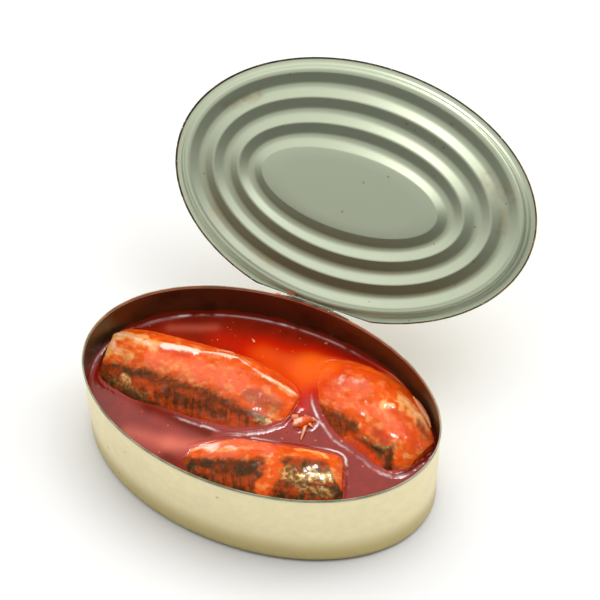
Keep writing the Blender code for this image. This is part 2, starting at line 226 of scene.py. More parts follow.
# How far from the wall and the fish the sauce's climb falls away, and how much further and higher it
# goes where it lies thin
WALL_FALL, FISH_FALL = 1.1 * MM, 0.8 * MM
FILM_REACH, FILM_RISE = 3.0 * MM, 1.1 * MM
# Lines of light in the sauce: distance from the fish and the wall, and width, in mm
FISH_LINE, WALL_LINE = (1.0, 0.4), (0.8, 0.35)

# Small pieces in mm: the fin's line; the shreds' middle and tips, heights above the sauce; the crumbs
# afloat (x, y, half length, turn); the steps along X of the strip's fold and of the crease in the rim
FIN_LINE = ((56.2, 33.2), (59.8, 30.3), (63.2, 27.6), (66.6, 24.8), (69.4, 21.4))
SHREDS = ((19.4, 4.8, 1.6), (22.9, 7.9, 1.0), (23.6, 3.4, 0.8), (17.2, 8.4, 0.6), (21.2, -4.2, 0.1))
CRUMBS = ((-21.1, 36.0, 1.2, -0.6), (34.3, 43.4, 0.9, 0.6), (8.5, 48.2, 0.7, 0.0))
FOLD_STEPS = (-12.0, -8.0, 0.0, 7.0, 10.5)
CREASE_STEPS = (-14.0, -11.0, -4.0, 4.0, 12.0, 18.5)

# Square lights: name, place, target, size, power
LIGHTS = (("key", (0.14, 0.28, 1.30), (0.0, 0.0, 0.0), 0.85, 3.2),
          ("fill", (0.70, 0.32, 1.05), (0.05, 0.0, 0.0), 1.0, 7.2),
          ("low", (0.60, 0.50, 0.40), (0.05, 0.05, 0.0), 0.6, 0.6),
          ("glint", (0.02, 0.45, 1.20), (0.0, 0.0, 0.02), 0.26, 5.6))


# ---------------------------------------------------------------- settings

def length(name, description, default_mm):
    """A length property whose default is given in millimetres."""
    return FloatProperty(name=name, description=description, default=default_mm * MM, min=0.0,
                         unit="LENGTH", precision=5)


def whole(name, description, default, least):
    """A whole-number property."""
    return IntProperty(name=name, description=description, default=default, min=least)


def colour(name, description, default):
    """A colour property."""
    return FloatVectorProperty(name=name, description=description, default=default, size=3,
                               min=0.0, max=1.0, subtype="COLOR")


class TinSettings(bpy.types.PropertyGroup):
    """Sizes and colours of the drawn tin body."""

    lip_proud: length("Lip proud", "How far the lip stands out from the wall", 0.4)
    lip_round: length("Lip round", "Diameter of the lip's outer curve", 1.2)
    lip_tight: length("Lip inside", "Radius of the lip's inner curve", 0.3)
    lip_depth: length("Lip depth", "Height of the rolled lip", 1.6)
    sheet: length("Sheet", "Thickness of the tinplate", 0.4)
    foot_radius: length("Foot radius", "Radius where the wall meets the base", 3.0)
    sides: whole("Sides", "Steps round the oval", 256, 32)
    gold: colour("Gold lacquer", "Outside of the wall", (0.91, 0.81, 0.50))
    lip_colour: colour("Lip lacquer", "Bare rolled lip", (0.56, 0.51, 0.38))
    # Partly the lacquer's colour, partly painted shade for the wall's shadowed inside.
    lining: colour("Lining", "Brown lacquer inside the wall", (0.095, 0.055, 0.022))


class LidSettings(bpy.types.PropertyGroup):
    """Sizes and colours of the ribbed lid."""

    half_width: length("Half width", "Semi-axis of the lid towards the hinge", 54.7)
    sheet: length("Sheet", "Thickness of the lid", 0.4)
    seam_height: length("Seam height", "Top of the seam above the tin's lip", 3.2)
    seam_radius: length("Seam radius", "Radius of the seam's bend", 0.5)
    chuck_foot: length("Chuck wall", "Distance from the edge to the foot of the chuck wall", 4.3)
    cut_gap: length("Cut gap", "Cut edge above the tin's lip, with the lid shut", 0.6)
    seam_under: length("Seam underside", "Underside of the seam's folds above the tin's lip", 0.75)
    strip_half: length("Strip", "Half the length of the uncut strip", 10.0)
    panel_drop: length("Panel drop", "Panel below the tin's lip", 1.0)
    rib_start: length("Rib start", "Distance from the edge to the first rib", 6.5)
    rib_pitch: length("Rib pitch", "Distance from rib to rib", 10.65)
    rib_depth: length("Rib depth", "Height of each rib", 1.6)
    rib_count: whole("Ribs", "Number of ribs", 3, 0)
    end_stretch: FloatProperty(name="End stretch", default=1.115, min=1.0,
                               description="How much wider the ribs lie at the oval's ends")
    centre_shift: length("Centre shift", "How far the flat centre lies off the middle, to the hinge", 1.7)
    sides: whole("Sides", "Steps round the oval", 288, 32)
    lacquer: colour("Lacquer", "Grey-green lacquer on the lid's inner face", (0.365, 0.405, 0.285))
    # Nearly black: painted shade for the dark line along the lid's torn rim.
    cut_edge_shade: colour("Cut edge", "Darkened edge left by the opener", (0.035, 0.025, 0.015))


class FishSettings(bpy.types.PropertyGroup):
    """Detail and colours of the fish."""

    sides: whole("Sides", "Steps round a chunk", 192, 16)
    stations: whole("Stations", "Steps along a chunk", 200, 12)
    cap_rings: whole("Cap rings", "Steps across a cut end", 16, 3)
    lump: length("Lumps", "Depth of the broad unevenness", 0.45)
    ridge_height: length("Ridge height", "How far the edges of muscle stand out", 0.7)
    flake_depth: length("Flake depth", "Depth of the grooves between flakes of flesh", 0.07)
    flake_pitch: length("Flake pitch", "Distance between the flakes' grooves", 4.2)
    skin_rise: length("Skin rise", "How far the skin stands proud of the bared flesh", 0.3)
    orange: colour("Orange flesh", "Flesh stained by sauce", (0.85, 0.105, 0.006))
    # Partly a painted sheen: the film's pink is partly the sky it mirrors.
    pink: colour("Pink flesh", "Flesh through a thin film of sauce", (0.88, 0.15, 0.06))
    cream: colour("Cream flesh", "Bare cooked flesh", (0.97, 0.47, 0.14))
    red: colour("Red film", "Thin sauce over flesh", (0.66, 0.022, 0.001))
    thin_film: colour("Orange film", "Very thin sauce over flesh", (0.92, 0.12, 0.006))
    skin_dark: colour("Dark skin", "Back of the fish", (0.055, 0.021, 0.006))
    skin_gold: colour("Gold skin", "Side of the fish", (0.34, 0.17, 0.05))
    silver: colour("Silver skin", "Shine on the belly", (0.60, 0.43, 0.18))
    stain: colour("Stain", "Sauce drawn into the skin's stripes", (0.50, 0.055, 0.003))
    # Painted highlight, laid where the wet flesh shines.
    pale: colour("Pale film", "Milky edge where the flesh stands proud", (1.0, 0.68, 0.55))


class SauceSettings(bpy.types.PropertyGroup):
    """Level and colours of the tomato sauce."""

    level: length("Level", "Height of the sauce", 24.8)
    wall_creep: length("Wall creep", "Rise of the sauce at the wall", 1.6)
    fish_creep: length("Fish creep", "Rise of the sauce round the fish", 0.9)
    rings: whole("Rings", "Steps from the middle to the wall", 190, 16)
    sides: whole("Sides", "Steps round the wall", 400, 32)
    deep: colour("Deep sauce", "Sauce in the open pool", (0.25, 0.014, 0.004))
    red: colour("Red sauce", "Sauce a little way over the fish", (0.55, 0.012, 0.001))
    thin: colour("Thin sauce", "Film of sauce over the fish", (0.90, 0.12, 0.008))
    # Partly a painted sheen of the sky mirrored in the sauce.
    rosy_film_and_sheen: colour("Rosy sauce", "Sauce over pale flesh", (0.75, 0.15, 0.085))


class StageSettings(bpy.types.PropertyGroup):
    """Camera and light."""

    camera_place: FloatVectorProperty(name="Camera", description="Place of the camera", size=3,
                                      default=(0.23394, -0.43266, 0.65641), subtype="TRANSLATION",
                                      unit="LENGTH")
    azimuth: FloatProperty(name="Azimuth", description="Turn of the camera about Z", default=0.459507,
                           subtype="ANGLE")
    elevation: FloatProperty(name="Elevation", description="Tilt of the camera above the floor",
                             default=0.848235, subtype="ANGLE")
    roll: FloatProperty(name="Roll", description="Roll of the camera", default=-0.0160878, subtype="ANGLE")
    focal_mm: FloatProperty(name="Focal length", description="For a sensor 36 mm wide", default=112.94)
    floor_colour: colour("Floor", "Pale floor", (0.87, 0.87, 0.865))
    backdrop: colour("Backdrop", "What is seen past the floor", (0.95, 0.95, 0.95))
    horizon_light: FloatProperty(name="Dim light", description="Light from in front and the right",
                                 default=0.07, min=0.0)
    sky_light: FloatProperty(name="Sky light", description="Light from the bright side", default=2.05,
                             min=0.0)
    sky_way: FloatVectorProperty(name="Bright side", description="Where the soft light is brightest", size=3,
                                 default=(-0.50, 0.15, 0.85))


class MackerelTinSettings(bpy.types.PropertyGroup):
    """All that a user would change."""

    tin: PointerProperty(type=TinSettings)
    lid: PointerProperty(type=LidSettings)
    fish: PointerProperty(type=FishSettings)
    sauce: PointerProperty(type=SauceSettings)
    stage: PointerProperty(type=StageSettings)


# ---------------------------------------------------------------- node helpers

def plug(tree, socket, value):
    """Sets a node's input to a value, or links it to a socket."""
    if isinstance(value, bpy.types.NodeSocket):
        tree.links.new(value, socket)
    else:
        socket.default_value = value


def put(tree, kind, feeds=None, **settings):
    """Adds a node.  feeds maps its inputs to values, or to sockets to link."""
    node = tree.nodes.new(kind)
    for name, value in settings.items():
        setattr(node, name, value)
    for name, value in (feeds or {}).items():
        plug(tree, node.inputs[name], value)
    return node


def calc(tree, operation, *values):
    """Math node on the values or sockets."""
    return put(tree, "ShaderNodeMath", dict(enumerate(values)), operation=operation).outputs[0]


def times(tree, first, second):
    """Product of two values or sockets."""
    return calc(tree, "MULTIPLY", first, second)


def plus(tree, first, second):
    """Sum of two values or sockets."""
    return calc(tree, "ADD", first, second)


def rest_of(tree, share):
    """What a share leaves of one."""
    return calc(tree, "SUBTRACT", 1.0, share)


def rgba(shade):
    """Colour with full alpha, for a colour socket."""
    return (shade[0], shade[1], shade[2], 1.0)


def blend(tree, factor, first, second, share=1.0):
    """Mixes two colours, each a socket or three numbers; share weakens the factor."""
    if share < 1.0:
        factor = times(tree, factor, share)
    sides = [side if isinstance(side, bpy.types.NodeSocket) else rgba(side) for side in (first, second)]
    return put(tree, "ShaderNodeMix", {0: factor, 6: sides[0], 7: sides[1]}, data_type="RGBA").outputs[2]


def ramp(tree, value, low, high, out_low=0.0, out_high=1.0):
    """Smooth step of the value from low to high."""
    feeds = {"Value": value, "From Min": low, "From Max": high, "To Min": out_low, "To Max": out_high}
    return put(tree, "ShaderNodeMapRange", feeds, interpolation_type="SMOOTHSTEP").outputs["Result"]


def new_group(name, kind, inputs, output):
    """Node group with the named inputs (name, kind, default) and one output (name, kind); returns it with
    its entry's sockets and its exit's input."""
    group = bpy.data.node_groups.new(name, kind)
    for label, sort, default in inputs:
        socket = group.interface.new_socket(label, in_out="INPUT", socket_type="NodeSocket" + sort)
        if default is not None:
            socket.default_value = default
    group.interface.new_socket(output[0], in_out="OUTPUT", socket_type="NodeSocket" + output[1])
    entry, leave = group.nodes.new("NodeGroupInput"), group.nodes.new("NodeGroupOutput")
    return group, entry.outputs, leave.inputs[output[0]]


def mottle_group():
    """Soft patches, made of noise taken through a smooth step."""
    sockets = [("Vector", "Vector", None), ("Scale", "Float", 100.0), ("Detail", "Float", 3.0),
               ("Low", "Float", 0.4), ("High", "Float", 0.6)]
    group, entry, leave = new_group("Mottle", "ShaderNodeTree", sockets, ("Mask", "Float"))
    cloud = put(group, "ShaderNodeTexNoise", {name: entry[name] for name in ("Vector", "Scale", "Detail")})
    group.links.new(ramp(group, cloud.outputs["Fac"], entry["Low"], entry["High"]), leave)
    return group


def speckle_group():
    """Scattered dots, made of cells of which a share carries a dot of the given size."""
    sockets = [("Vector", "Vector", None), ("Scale", "Float", 400.0), ("Size", "Float", 0.25),
               ("Share", "Float", 0.3)]
    group, entry, leave = new_group("Speckle", "ShaderNodeTree", sockets, ("Mask", "Float"))
    cells = put(group, "ShaderNodeTexVoronoi", {name: entry[name] for name in ("Vector", "Scale")})
    dot = calc(group, "LESS_THAN", cells.outputs["Distance"], entry["Size"])
    pick = put(group, "ShaderNodeSeparateColor", {"Color": cells.outputs["Color"]})
    chosen = calc(group, "LESS_THAN", pick.outputs[0], entry["Share"])
    group.links.new(times(group, dot, chosen), leave)
    return group


def mottle(tree, vector, scale, detail, low, high):
    """Mask of soft patches, from the one Mottle group."""
    group = bpy.data.node_groups.get("Mottle") or mottle_group()
    feeds = {"Vector": vector, "Scale": scale, "Detail": detail, "Low": low, "High": high}
    return put(tree, "ShaderNodeGroup", feeds, node_tree=group).outputs["Mask"]


def speckle(tree, vector, scale, size, share):
    """Mask of scattered dots, from the one Speckle group."""
    group = bpy.data.node_groups.get("Speckle") or speckle_group()
    feeds = {"Vector": vector, "Scale": scale, "Size": size, "Share": share}
    return put(tree, "ShaderNodeGroup", feeds, node_tree=group).outputs["Mask"]


def brushed(tree, name):
    """A single-number attribute painted on the piece's points."""
    return put(tree, "ShaderNodeAttribute", attribute_name=name).outputs["Fac"]


def four_fields(tree, name):
    """The four fields kept together in a colour attribute."""
    paint = put(tree, "ShaderNodeAttribute", attribute_name=name)
    parts = put(tree, "ShaderNodeSeparateColor", {"Color": paint.outputs["Color"]}).outputs
    return parts[0], parts[1], parts[2], paint.outputs["Alpha"]


def new_finish(name):
    """Empty material; returns it with its tree and the place on the piece."""
    finish = bpy.data.materials.new(name)
    finish.use_nodes = True
    return finish, finish.node_tree, finish.node_tree.nodes.new("ShaderNodeTexCoord").outputs["Object"]


def feed(finish, **feeds):
    """Feeds the material's Principled shader, whose inputs' names have underscores for spaces."""
    tree = finish.node_tree
    for name, value in feeds.items():
        plug(tree, tree.nodes["Principled BSDF"].inputs[name.replace("_", " ")], value)
    return finish


def relief(tree, height, strength, distance):
    """Bump normal from a height."""
    return put(tree, "ShaderNodeBump", {"Height": height, "Strength": strength,
                                        "Distance": distance}).outputs["Normal"]


def stretched(tree, vector, scale):
    """The vector scaled unevenly, to draw a pattern out along one way."""
    return put(tree, "ShaderNodeMapping", {"Vector": vector, "Scale": scale}).outputs["Vector"]


# ---------------------------------------------------------------- finishes

def gold_lacquer(settings):
    """Pale gold lacquer on drawn tinplate, faintly mottled, with a few tiny scuffs, and painted shade
    darkening it towards the foot.
    """
    finish, tree, place = new_finish("gold_lacquer")
    patches = mottle(tree, place, 260.0, 6.0, 0.3, 0.7)
    clouds = mottle(tree, place, 45.0, 2.0, 0.3, 0.7)
    drawn = mottle(tree, stretched(tree, place, (1.0, 1.0, 0.12)), 900.0, 2.0, 0.2, 0.8)
    scuffs = speckle(tree, place, 170.0, 0.13, 0.12)
    gold = Vector(settings.gold)
    high = put(tree, "ShaderNodeSeparateXYZ", {"Vector": place}).outputs["Z"]
    shade = blend(tree, patches, gold * 0.96, gold * 1.03)
    shade = blend(tree, clouds, shade, gold * 0.86, 0.25)
    # Painted shade: darker from 19 mm down to 5 mm, and darker still towards the base.
    shade = blend(tree, ramp(tree, high, 19.0 * MM, 5.0 * MM), shade, gold * Vector((0.66, 0.61, 0.42)))
    shade = blend(tree, ramp(tree, high, 5.0 * MM, -1.0 * MM), shade, gold * Vector((0.36, 0.34, 0.20)))
    shade = blend(tree, scuffs, shade, gold * 0.35, 0.45)
    return feed(finish, Base_Color=shade, Roughness=plus(tree, times(tree, patches, 0.10), 0.34),
                Metallic=0.72, Normal=relief(tree, plus(tree, patches, drawn), 0.12, 0.00008))


def lip_lacquer(settings):
    """Bare pale lip, darker where it is rubbed, with painted shade making it darker and greener along its
    outer side, most towards the front.
    """
    finish, tree, place = new_finish("lip_lacquer")
    worn = mottle(tree, place, 120.0, 5.0, 0.42, 0.62)
    # dim: painted shade along the lip's outer side, broken up by the wear.
    dim = times(tree, brushed(tree, "dim"), calc(tree, "MULTIPLY_ADD", worn, 0.4, 0.6))
    shade = blend(tree, worn, settings.lip_colour, Vector(settings.lip_colour) * 0.75)
    shade = blend(tree, dim, shade, (0.16, 0.20, 0.11))
    return feed(finish, Base_Color=shade, Roughness=0.33, Metallic=0.35,
                Normal=relief(tree, worn, 0.15, 0.0001))


def lining_finish(settings, sauce):
    """Brown lining, its dark brown partly the lacquer and partly painted shade for the wall's shadowed
    inside; sauce has run down it and left a thin red film above the level.
    """
    finish, tree, place = new_finish("lining")
    high = put(tree, "ShaderNodeSeparateXYZ", {"Vector": place}).outputs["Z"]
    uneven = put(tree, "ShaderNodeTexNoise", {"Vector": stretched(tree, place, (1.0, 1.0, 0.4)),
                                              "Scale": 60.0, "Detail": 4.0}).outputs["Fac"]
    edge = plus(tree, high, times(tree, uneven, -5.0 * MM))
    film = ramp(tree, edge, sauce.level + 1.5 * MM, sauce.level - 0.3 * MM)
    stains = mottle(tree, place, 90.0, 5.0, 0.45, 0.75)
    # The dark brown base is partly painted shade.
    base = Vector(settings.lining)
    shade = blend(tree, stains, base, base * 0.6)
    shade = blend(tree, film, shade, (0.30, 0.03, 0.008))
    return feed(finish, Base_Color=shade, Metallic=calc(tree, "SUBTRACT", 0.45, times(tree, film, 0.4)),
                Roughness=plus(tree, 0.26, times(tree, film, -0.16)))


def lid_lacquer(settings):
    """Grey-green lacquer with golden-brown stains and specks; painted light along the border, painted shade
    over the ribs on the left towards the hinge, and a painted brown reflection on the ribs' falling slopes
    there."""
    finish, tree, place = new_finish("grey_green_lacquer")
    blotch = calc(tree, "MULTIPLY_ADD", mottle(tree, place, 210.0, 5.0, 0.40, 0.65), 0.6, 0.25)
    base = Vector(settings.lacquer)
    # Painted shade on the ribs to the left towards the hinge, painted brown reflection of the tin's contents
    # on their falling slopes, painted light on the border; the stains after them are real.
    shade = blend(tree, brushed(tree, "dulled"), base, base * 0.66)
    shade = blend(tree, brushed(tree, "browned"), shade, base * Vector((0.72, 0.60, 0.48)))
    shade = blend(tree, brushed(tree, "lifted"), shade, base * 1.7)
    shade = blend(tree, times(tree, brushed(tree, "stained"), blotch), shade, (0.25, 0.17, 0.07))
    shade = blend(tree, speckle(tree, place, 210.0, 0.12, 0.10), shade, (0.16, 0.12, 0.06), 0.5)
    return feed(finish, Base_Color=shade, Roughness=0.30, Metallic=0.55, Coat_Weight=0.6,
                Coat_Roughness=0.25)


def cut_edge_finish(settings):
    """Torn tinplate edge: nearly black as painted shade along the lid's rim, with brown and bright bare
    specks.
    """
    finish, tree, place = new_finish("cut_edge")
    brown = mottle(tree, place, 160.0, 5.0, 0.45, 0.62)
    bare = mottle(tree, place, 520.0, 3.0, 0.68, 0.72)
    shade = blend(tree, brown, settings.cut_edge_shade, (0.16, 0.08, 0.035))
    shade = blend(tree, bare, shade, (0.75, 0.72, 0.62))
    return feed(finish, Base_Color=shade, Roughness=0.45, Metallic=0.5,
                Normal=relief(tree, brown, 0.4, 0.0003))


def frayed(tree, mask, grain, amount):
    """The painted mask, its soft edge broken up by the grain."""
    moved = calc(tree, "MULTIPLY_ADD", calc(tree, "SUBTRACT", grain, 0.5), amount, mask)
    return times(tree, ramp(tree, moved, 0.05, 0.95), ramp(tree, mask, 0.0, 0.2))


def bare_flesh(tree, settings, place, flow, painted_on):
    """Colour of flesh without skin, with its fibres: orange, with pink, cream, the films over it and painted
    highlights (pale).
    """
    cream, film, pink, pale = painted_on
    orange = Vector(settings.orange)
    fibres = mottle(tree, stretched(tree, flow, (0.3, 1.0, 1.0)), 700.0, 4.0, 0.3, 0.7)
    clouds = mottle(tree, place, 190.0, 6.0, 0.36, 0.64)
    grain = mottle(tree, stretched(tree, flow, (0.6, 1.0, 1.0)), 330.0, 6.0, 0.3, 0.7)
    pits = mottle(tree, flow, 900.0, 3.0, 0.60, 0.70)
    shade = blend(tree, clouds, orange, orange * 0.66, 0.6)
    shade = blend(tree, frayed(tree, pink, grain, 0.5), shade, settings.pink)
    shade = blend(tree, ramp(tree, grain, 0.5, 1.0), shade, settings.cream, 0.35)
    shade = blend(tree, frayed(tree, cream, grain, 0.55), shade, settings.cream)
    shade = blend(tree, fibres, shade, orange * 0.75, 0.30)
    shade = blend(tree, pits, shade, orange * 0.4, 0.35)
    filmed = blend(tree, ramp(tree, film, 0.45, 1.0), settings.red, settings.thin_film)
    shade = blend(tree, film, shade, filmed)
    # pale: painted highlight.
    return blend(tree, frayed(tree, pale, grain, 0.5), shade, settings.pale), fibres, clouds


def mackerel_skin(tree, settings, flow, scales, painted_on):
    """Colour of the skin: dark back, striped flank, gold and silver belly, stained by sauce."""
    striped, silver, dark, rust = painted_on
    gold = Vector(settings.skin_gold)
    slanted = put(tree, "ShaderNodeMapping", {"Vector": flow, "Rotation": (0.0, 0.0, 0.35)}).outputs["Vector"]
    bars = mottle(tree, stretched(tree, slanted, (1.0, 0.13, 1.0)), 430.0, 3.0, 0.44, 0.54)
    patches = mottle(tree, flow, 230.0, 5.0, 0.46, 0.58)
    coat = blend(tree, scales, settings.skin_dark, gold * 0.35)
    coat = blend(tree, patches, coat, settings.stain, 0.55)
    belly = blend(tree, scales, gold * 0.45, gold * 1.3)
    belly = blend(tree, ramp(tree, silver, 0.75, 1.0), belly, blend(tree, scales, gold, settings.silver))
    coat = blend(tree, ramp(tree, silver, 0.0, 0.8), coat, belly)
    rusty = times(tree, rust, calc(tree, "MULTIPLY_ADD", scales, 0.3, 0.7))
    coat = blend(tree, rusty, coat, settings.stain)
    coat = blend(tree, times(tree, striped, rest_of(tree, bars)), coat, settings.skin_dark)
    return blend(tree, frayed(tree, dark, scales, 0.5), coat, settings.skin_dark, 0.75)


def mackerel_finish(settings):
    """Wet cooked fish.  Painted on: tone holds skin, cream, red film and pink film, the pink partly a painted
    sheen;
    hide holds the skin's stripes, silver, dark parts and rust, the dark on bare flesh partly painted shade;
    pale is painted highlight; wet is the gloss.  flow runs along and round the piece."""
    finish, tree, place = new_finish("fish_flesh")
    skin, cream, film, pink = four_fields(tree, "tone")
    striped, silver, dark, rust = four_fields(tree, "hide")
    flow = put(tree, "ShaderNodeAttribute", attribute_name="flow").outputs["Vector"]
    scales = mottle(tree, flow, 560.0, 5.0, 0.42, 0.60)
    bared = (cream, film, pink, brushed(tree, "pale"))
    flesh, fibres, clouds = bare_flesh(tree, settings, place, flow, bared)
    coat = mackerel_skin(tree, settings, flow, scales, (striped, silver, dark, rust))
    skin = frayed(tree, skin, scales, 0.25)
    shade = blend(tree, skin, flesh, coat)
    # Where the dark brush falls on bare flesh it turns dark brown: partly the flesh's own darker places,
    # partly painted shade, as in the gap under the fin strip.
    shade = blend(tree, times(tree, times(tree, dark, 0.55), rest_of(tree, skin)), shade, (0.17, 0.05, 0.03))
    matt = rest_of(tree, film)
    grain = plus(tree, times(tree, fibres, matt), times(tree, scales, skin))
    rough = plus(tree, 0.24, times(tree, matt, plus(tree, 0.10, times(tree, clouds, 0.14))))
    metal = times(tree, times(tree, silver, skin), times(tree, scales, 0.6))
    return feed(finish, Base_Color=shade, Roughness=rough, Metallic=metal, Subsurface_Weight=0.08,
                Subsurface_Radius=(0.004, 0.0012, 0.0006), Subsurface_Scale=1.0, IOR=1.40,
                Specular_IOR_Level=0.07, Coat_Weight=brushed(tree, "wet"), Coat_Roughness=0.05,
                Normal=relief(tree, grain, 0.3, 0.0003))


def sauce_finish(settings):
    """Thick red sauce, glossy, brighter where it lies thin against the fish, with fine pulp in it; painted
    shadow in dark bands, a painted rosy sheen and painted white lines of light.
    """
    finish, tree, place = new_finish("tomato_sauce")
    near = brushed(tree, "near")
    pulp = mottle(tree, place, 240.0, 6.0, 0.40, 0.66)
    clouds = mottle(tree, place, 55.0, 3.0, 0.36, 0.66)
    deep = Vector(settings.deep)
    shade = blend(tree, clouds, deep * 0.85, deep * 1.15)
    shade = blend(tree, pulp, shade, deep * 1.6, 0.2)
    # Partly painted shadow: dark bands along the fish's edges and at the back wall.
    shade = blend(tree, brushed(tree, "murk_and_shadow"), shade, (0.12, 0.014, 0.004))
    # Rosy: partly sauce over pale flesh, partly painted sheen.
    shade = blend(tree, brushed(tree, "rosy_film_and_sheen"), shade, settings.rosy_film_and_sheen)
    shade = blend(tree, ramp(tree, near, 0.0, 0.5), shade, settings.red)
    shade = blend(tree, ramp(tree, near, 0.35, 1.0), shade, settings.thin)
    shade = blend(tree, speckle(tree, place, 300.0, 0.16, 0.10), shade, (0.75, 0.16, 0.03), 0.5)
    shade = blend(tree, brushed(tree, "gleam"), shade, (1.0, 0.88, 0.86))
    return feed(finish, Base_Color=shade, Roughness=plus(tree, 0.10, times(tree, pulp, 0.05)), IOR=1.40,
                Specular_IOR_Level=0.05, Coat_Weight=brushed(tree, "shine"), Coat_Roughness=0.04,
                Normal=relief(tree, pulp, 0.03, 0.0002))


def speck_finish():
    """Cream bits of flesh and fat afloat in the sauce."""
    return feed(new_finish("specks")[0], Base_Color=(0.95, 0.45, 0.20, 1.0), Roughness=0.3, Coat_Weight=0.5)


def floor_finish(settings):
    """Matt pale floor with a hardly visible grain."""
    finish, tree, place = new_finish("pale_floor")
    base = Vector(settings.floor_colour)
    shade = blend(tree, mottle(tree, place, 30.0, 3.0, 0.2, 0.8), base, base * 0.995)
    return feed(finish, Base_Color=shade, Roughness=0.9, Specular_IOR_Level=0.1)


# ---------------------------------------------------------------- mesh helpers

def fade(values, start, span):
    """0 up to the start, 1 from a span further on, even between; a negative span runs the other way."""
    return np.clip((values - start) / span, 0.0, 1.0)


def angles_round(sides):
    """Angles of even steps round a circle."""
    return np.arange(sides) * TAU / sides


def arc(centre, radius, start, end, steps):
    """Points (inset, height) on a circle from one angle to the other, in degrees."""
    angles = [math.radians(start + (end - start) * i / steps) for i in range(steps + 1)]
    return [(centre[0] + radius * math.cos(t), centre[1] + radius * math.sin(t)) for t in angles]


def oval_rings(profile, a, b, sides):
    """Rings of an oval body as an array (rings, sides, 3), from its profile of (inset, height)."""
    turns = angles_round(sides)
    rings = np.empty((len(profile), sides, 3))
    for k, (inset, z) in enumerate(profile):
        rings[k, :, 0] = (a - inset) * np.cos(turns)
        rings[k, :, 1] = (b - inset) * np.sin(turns)
        rings[k, :, 2] = z
    return rings


def ring_faces(rows, sides):
    """Quads between neighbouring rings."""
    return [(k * sides + i, k * sides + (i + 1) % sides, (k + 1) * sides + (i + 1) % sides,
             (k + 1) * sides + i) for k in range(rows - 1) for i in range(sides)]


def tube_faces(rows, sides):
    """Quads between neighbouring rings, with a flat face over each end."""
    last = (rows - 1) * sides
    caps = [tuple(reversed(range(sides))), tuple(last + i for i in range(sides))]
    return ring_faces(rows, sides) + caps


def fanned_faces(rows, sides):
    """Quads between neighbouring rings, with a fan over each end to the two points after the rings."""
    faces = ring_faces(rows, sides)
    tip, end = rows * sides, (rows - 1) * sides
    faces += [((i + 1) % sides, i, tip) for i in range(sides)]
    return faces + [(end + i, end + (i + 1) % sides, tip + 1) for i in range(sides)]


def link(name, data):
    """Object in the scene's collection."""
    body = bpy.data.objects.new(name, data)
    bpy.context.scene.collection.objects.link(body)
    return body


def add_body(name, vertices, faces, finishes, smooth_angle=None):
    """Object from points and faces, smooth shaded, with its finishes in slots."""
    mesh = bpy.data.meshes.new(name)
    mesh.from_pydata([tuple(v) for v in vertices], [], faces)
    mesh.validate()
    mesh.shade_smooth()
    if smooth_angle is not None:
        mesh.set_sharp_from_angle(angle=smooth_angle)
    for finish in finishes:
        mesh.materials.append(finish)
    return link(name, mesh)


def face_outwards(body):
    """Turns all faces of a closed body outwards."""
    bm = bmesh.new()
    bm.from_mesh(body.data)
    bmesh.ops.recalc_face_normals(bm, faces=bm.faces[:])
    bm.to_mesh(body.data)
    bm.free()


def brush(mesh, kind, **fields):
    """Point attributes of one kind: value, vector or color."""
    sort = {"value": "FLOAT", "vector": "FLOAT_VECTOR", "color": "FLOAT_COLOR"}[kind]
    for name, values in fields.items():
        layer = mesh.attributes.new(name, sort, "POINT")
        layer.data.foreach_set(kind, np.asarray(values, np.float32).ravel())


def brush_flesh(mesh, skin, cream, film, pink, striped, silver, dark, rust, wet, pale, flow):
    """Everything that the fish's finish reads."""
    tone, hide = (skin, cream, film, pink), (striped, silver, dark, rust)
    brush(mesh, "vector", flow=flow)
    brush(mesh, "color", tone=np.stack(tone, axis=1), hide=np.stack(hide, axis=1))
    brush(mesh, "value", wet=wet, pale=pale)


def points_of(mesh):
    """The mesh's points as an array."""
    points = np.empty(len(mesh.vertices) * 3)
    mesh.vertices.foreach_get("co", points)
    return points.reshape(-1, 3)


def swing_open(mesh):
    """Turns what is drawn on the shut lid about the hinge, to where the open lid stands."""
    hinge = Matrix.Translation(HINGE_POINT)
    mesh.transform(hinge @ Matrix.Rotation(-LID_OPEN, 4, "X") @ hinge.inverted())
    mesh.update()


def realised(body):
    """Replaces an object's mesh by what its modifiers make of it, smooth shaded, and removes them."""
    graph = bpy.context.evaluated_depsgraph_get()
    mesh = bpy.data.meshes.new_from_object(body.evaluated_get(graph))
    body.modifiers.clear()
    body.data = mesh
    mesh.name = body.name
    mesh.shade_smooth()


def clouds_at(points, scale, octaves=3, offset=0.0):
    """Fractal noise of about -1 to 1 at each point, over lumps of the scale's size."""
    shift = Vector((offset, 0.7 * offset, 1.3 * offset))
    return np.array([noise.fractal(Vector(p) / scale + shift, 1.0, 2.0, octaves) for p in points])


# ---------------------------------------------------------------- tin

def tin_profile(settings):
    """Section of the tin's wall, (inset, height, finish), from the base up, over the lip and down inside.
    The lip is wide outside and tight inside, where the shut lid's chuck wall passes."""
    proud, foot_radius = settings.lip_proud, settings.foot_radius
    foot = (proud + foot_radius, foot_radius)
    root = TIN_HIGH.z - settings.lip_depth
    bead, tight = settings.lip_round / 2.0, settings.lip_tight
    outside = arc(foot, foot_radius, 270.0, 180.0, 12)
    outside += [(proud, foot_radius + (root - foot_radius) * k / 24) for k in range(1, 24)]
    lip = [(proud, root)] + arc((bead, TIN_HIGH.z - bead), bead, 200.0, 112.0, 8)
    lip += arc((proud, TIN_HIGH.z - LIP_DIP - tight), tight, 90.0, 0.0, 8)
    lip.append((proud + tight, TIN_HIGH.z - LIP_EDGE))
    inner = proud + settings.sheet
    inside = [(inner, root - (root - foot_radius) * k / 16) for k in range(16)]
    inside += arc(foot, foot_radius - settings.sheet, 180.0, 270.0, 8)
    return [(d, z, kind) for kind, part in enumerate((outside, lip, inside)) for d, z in part]


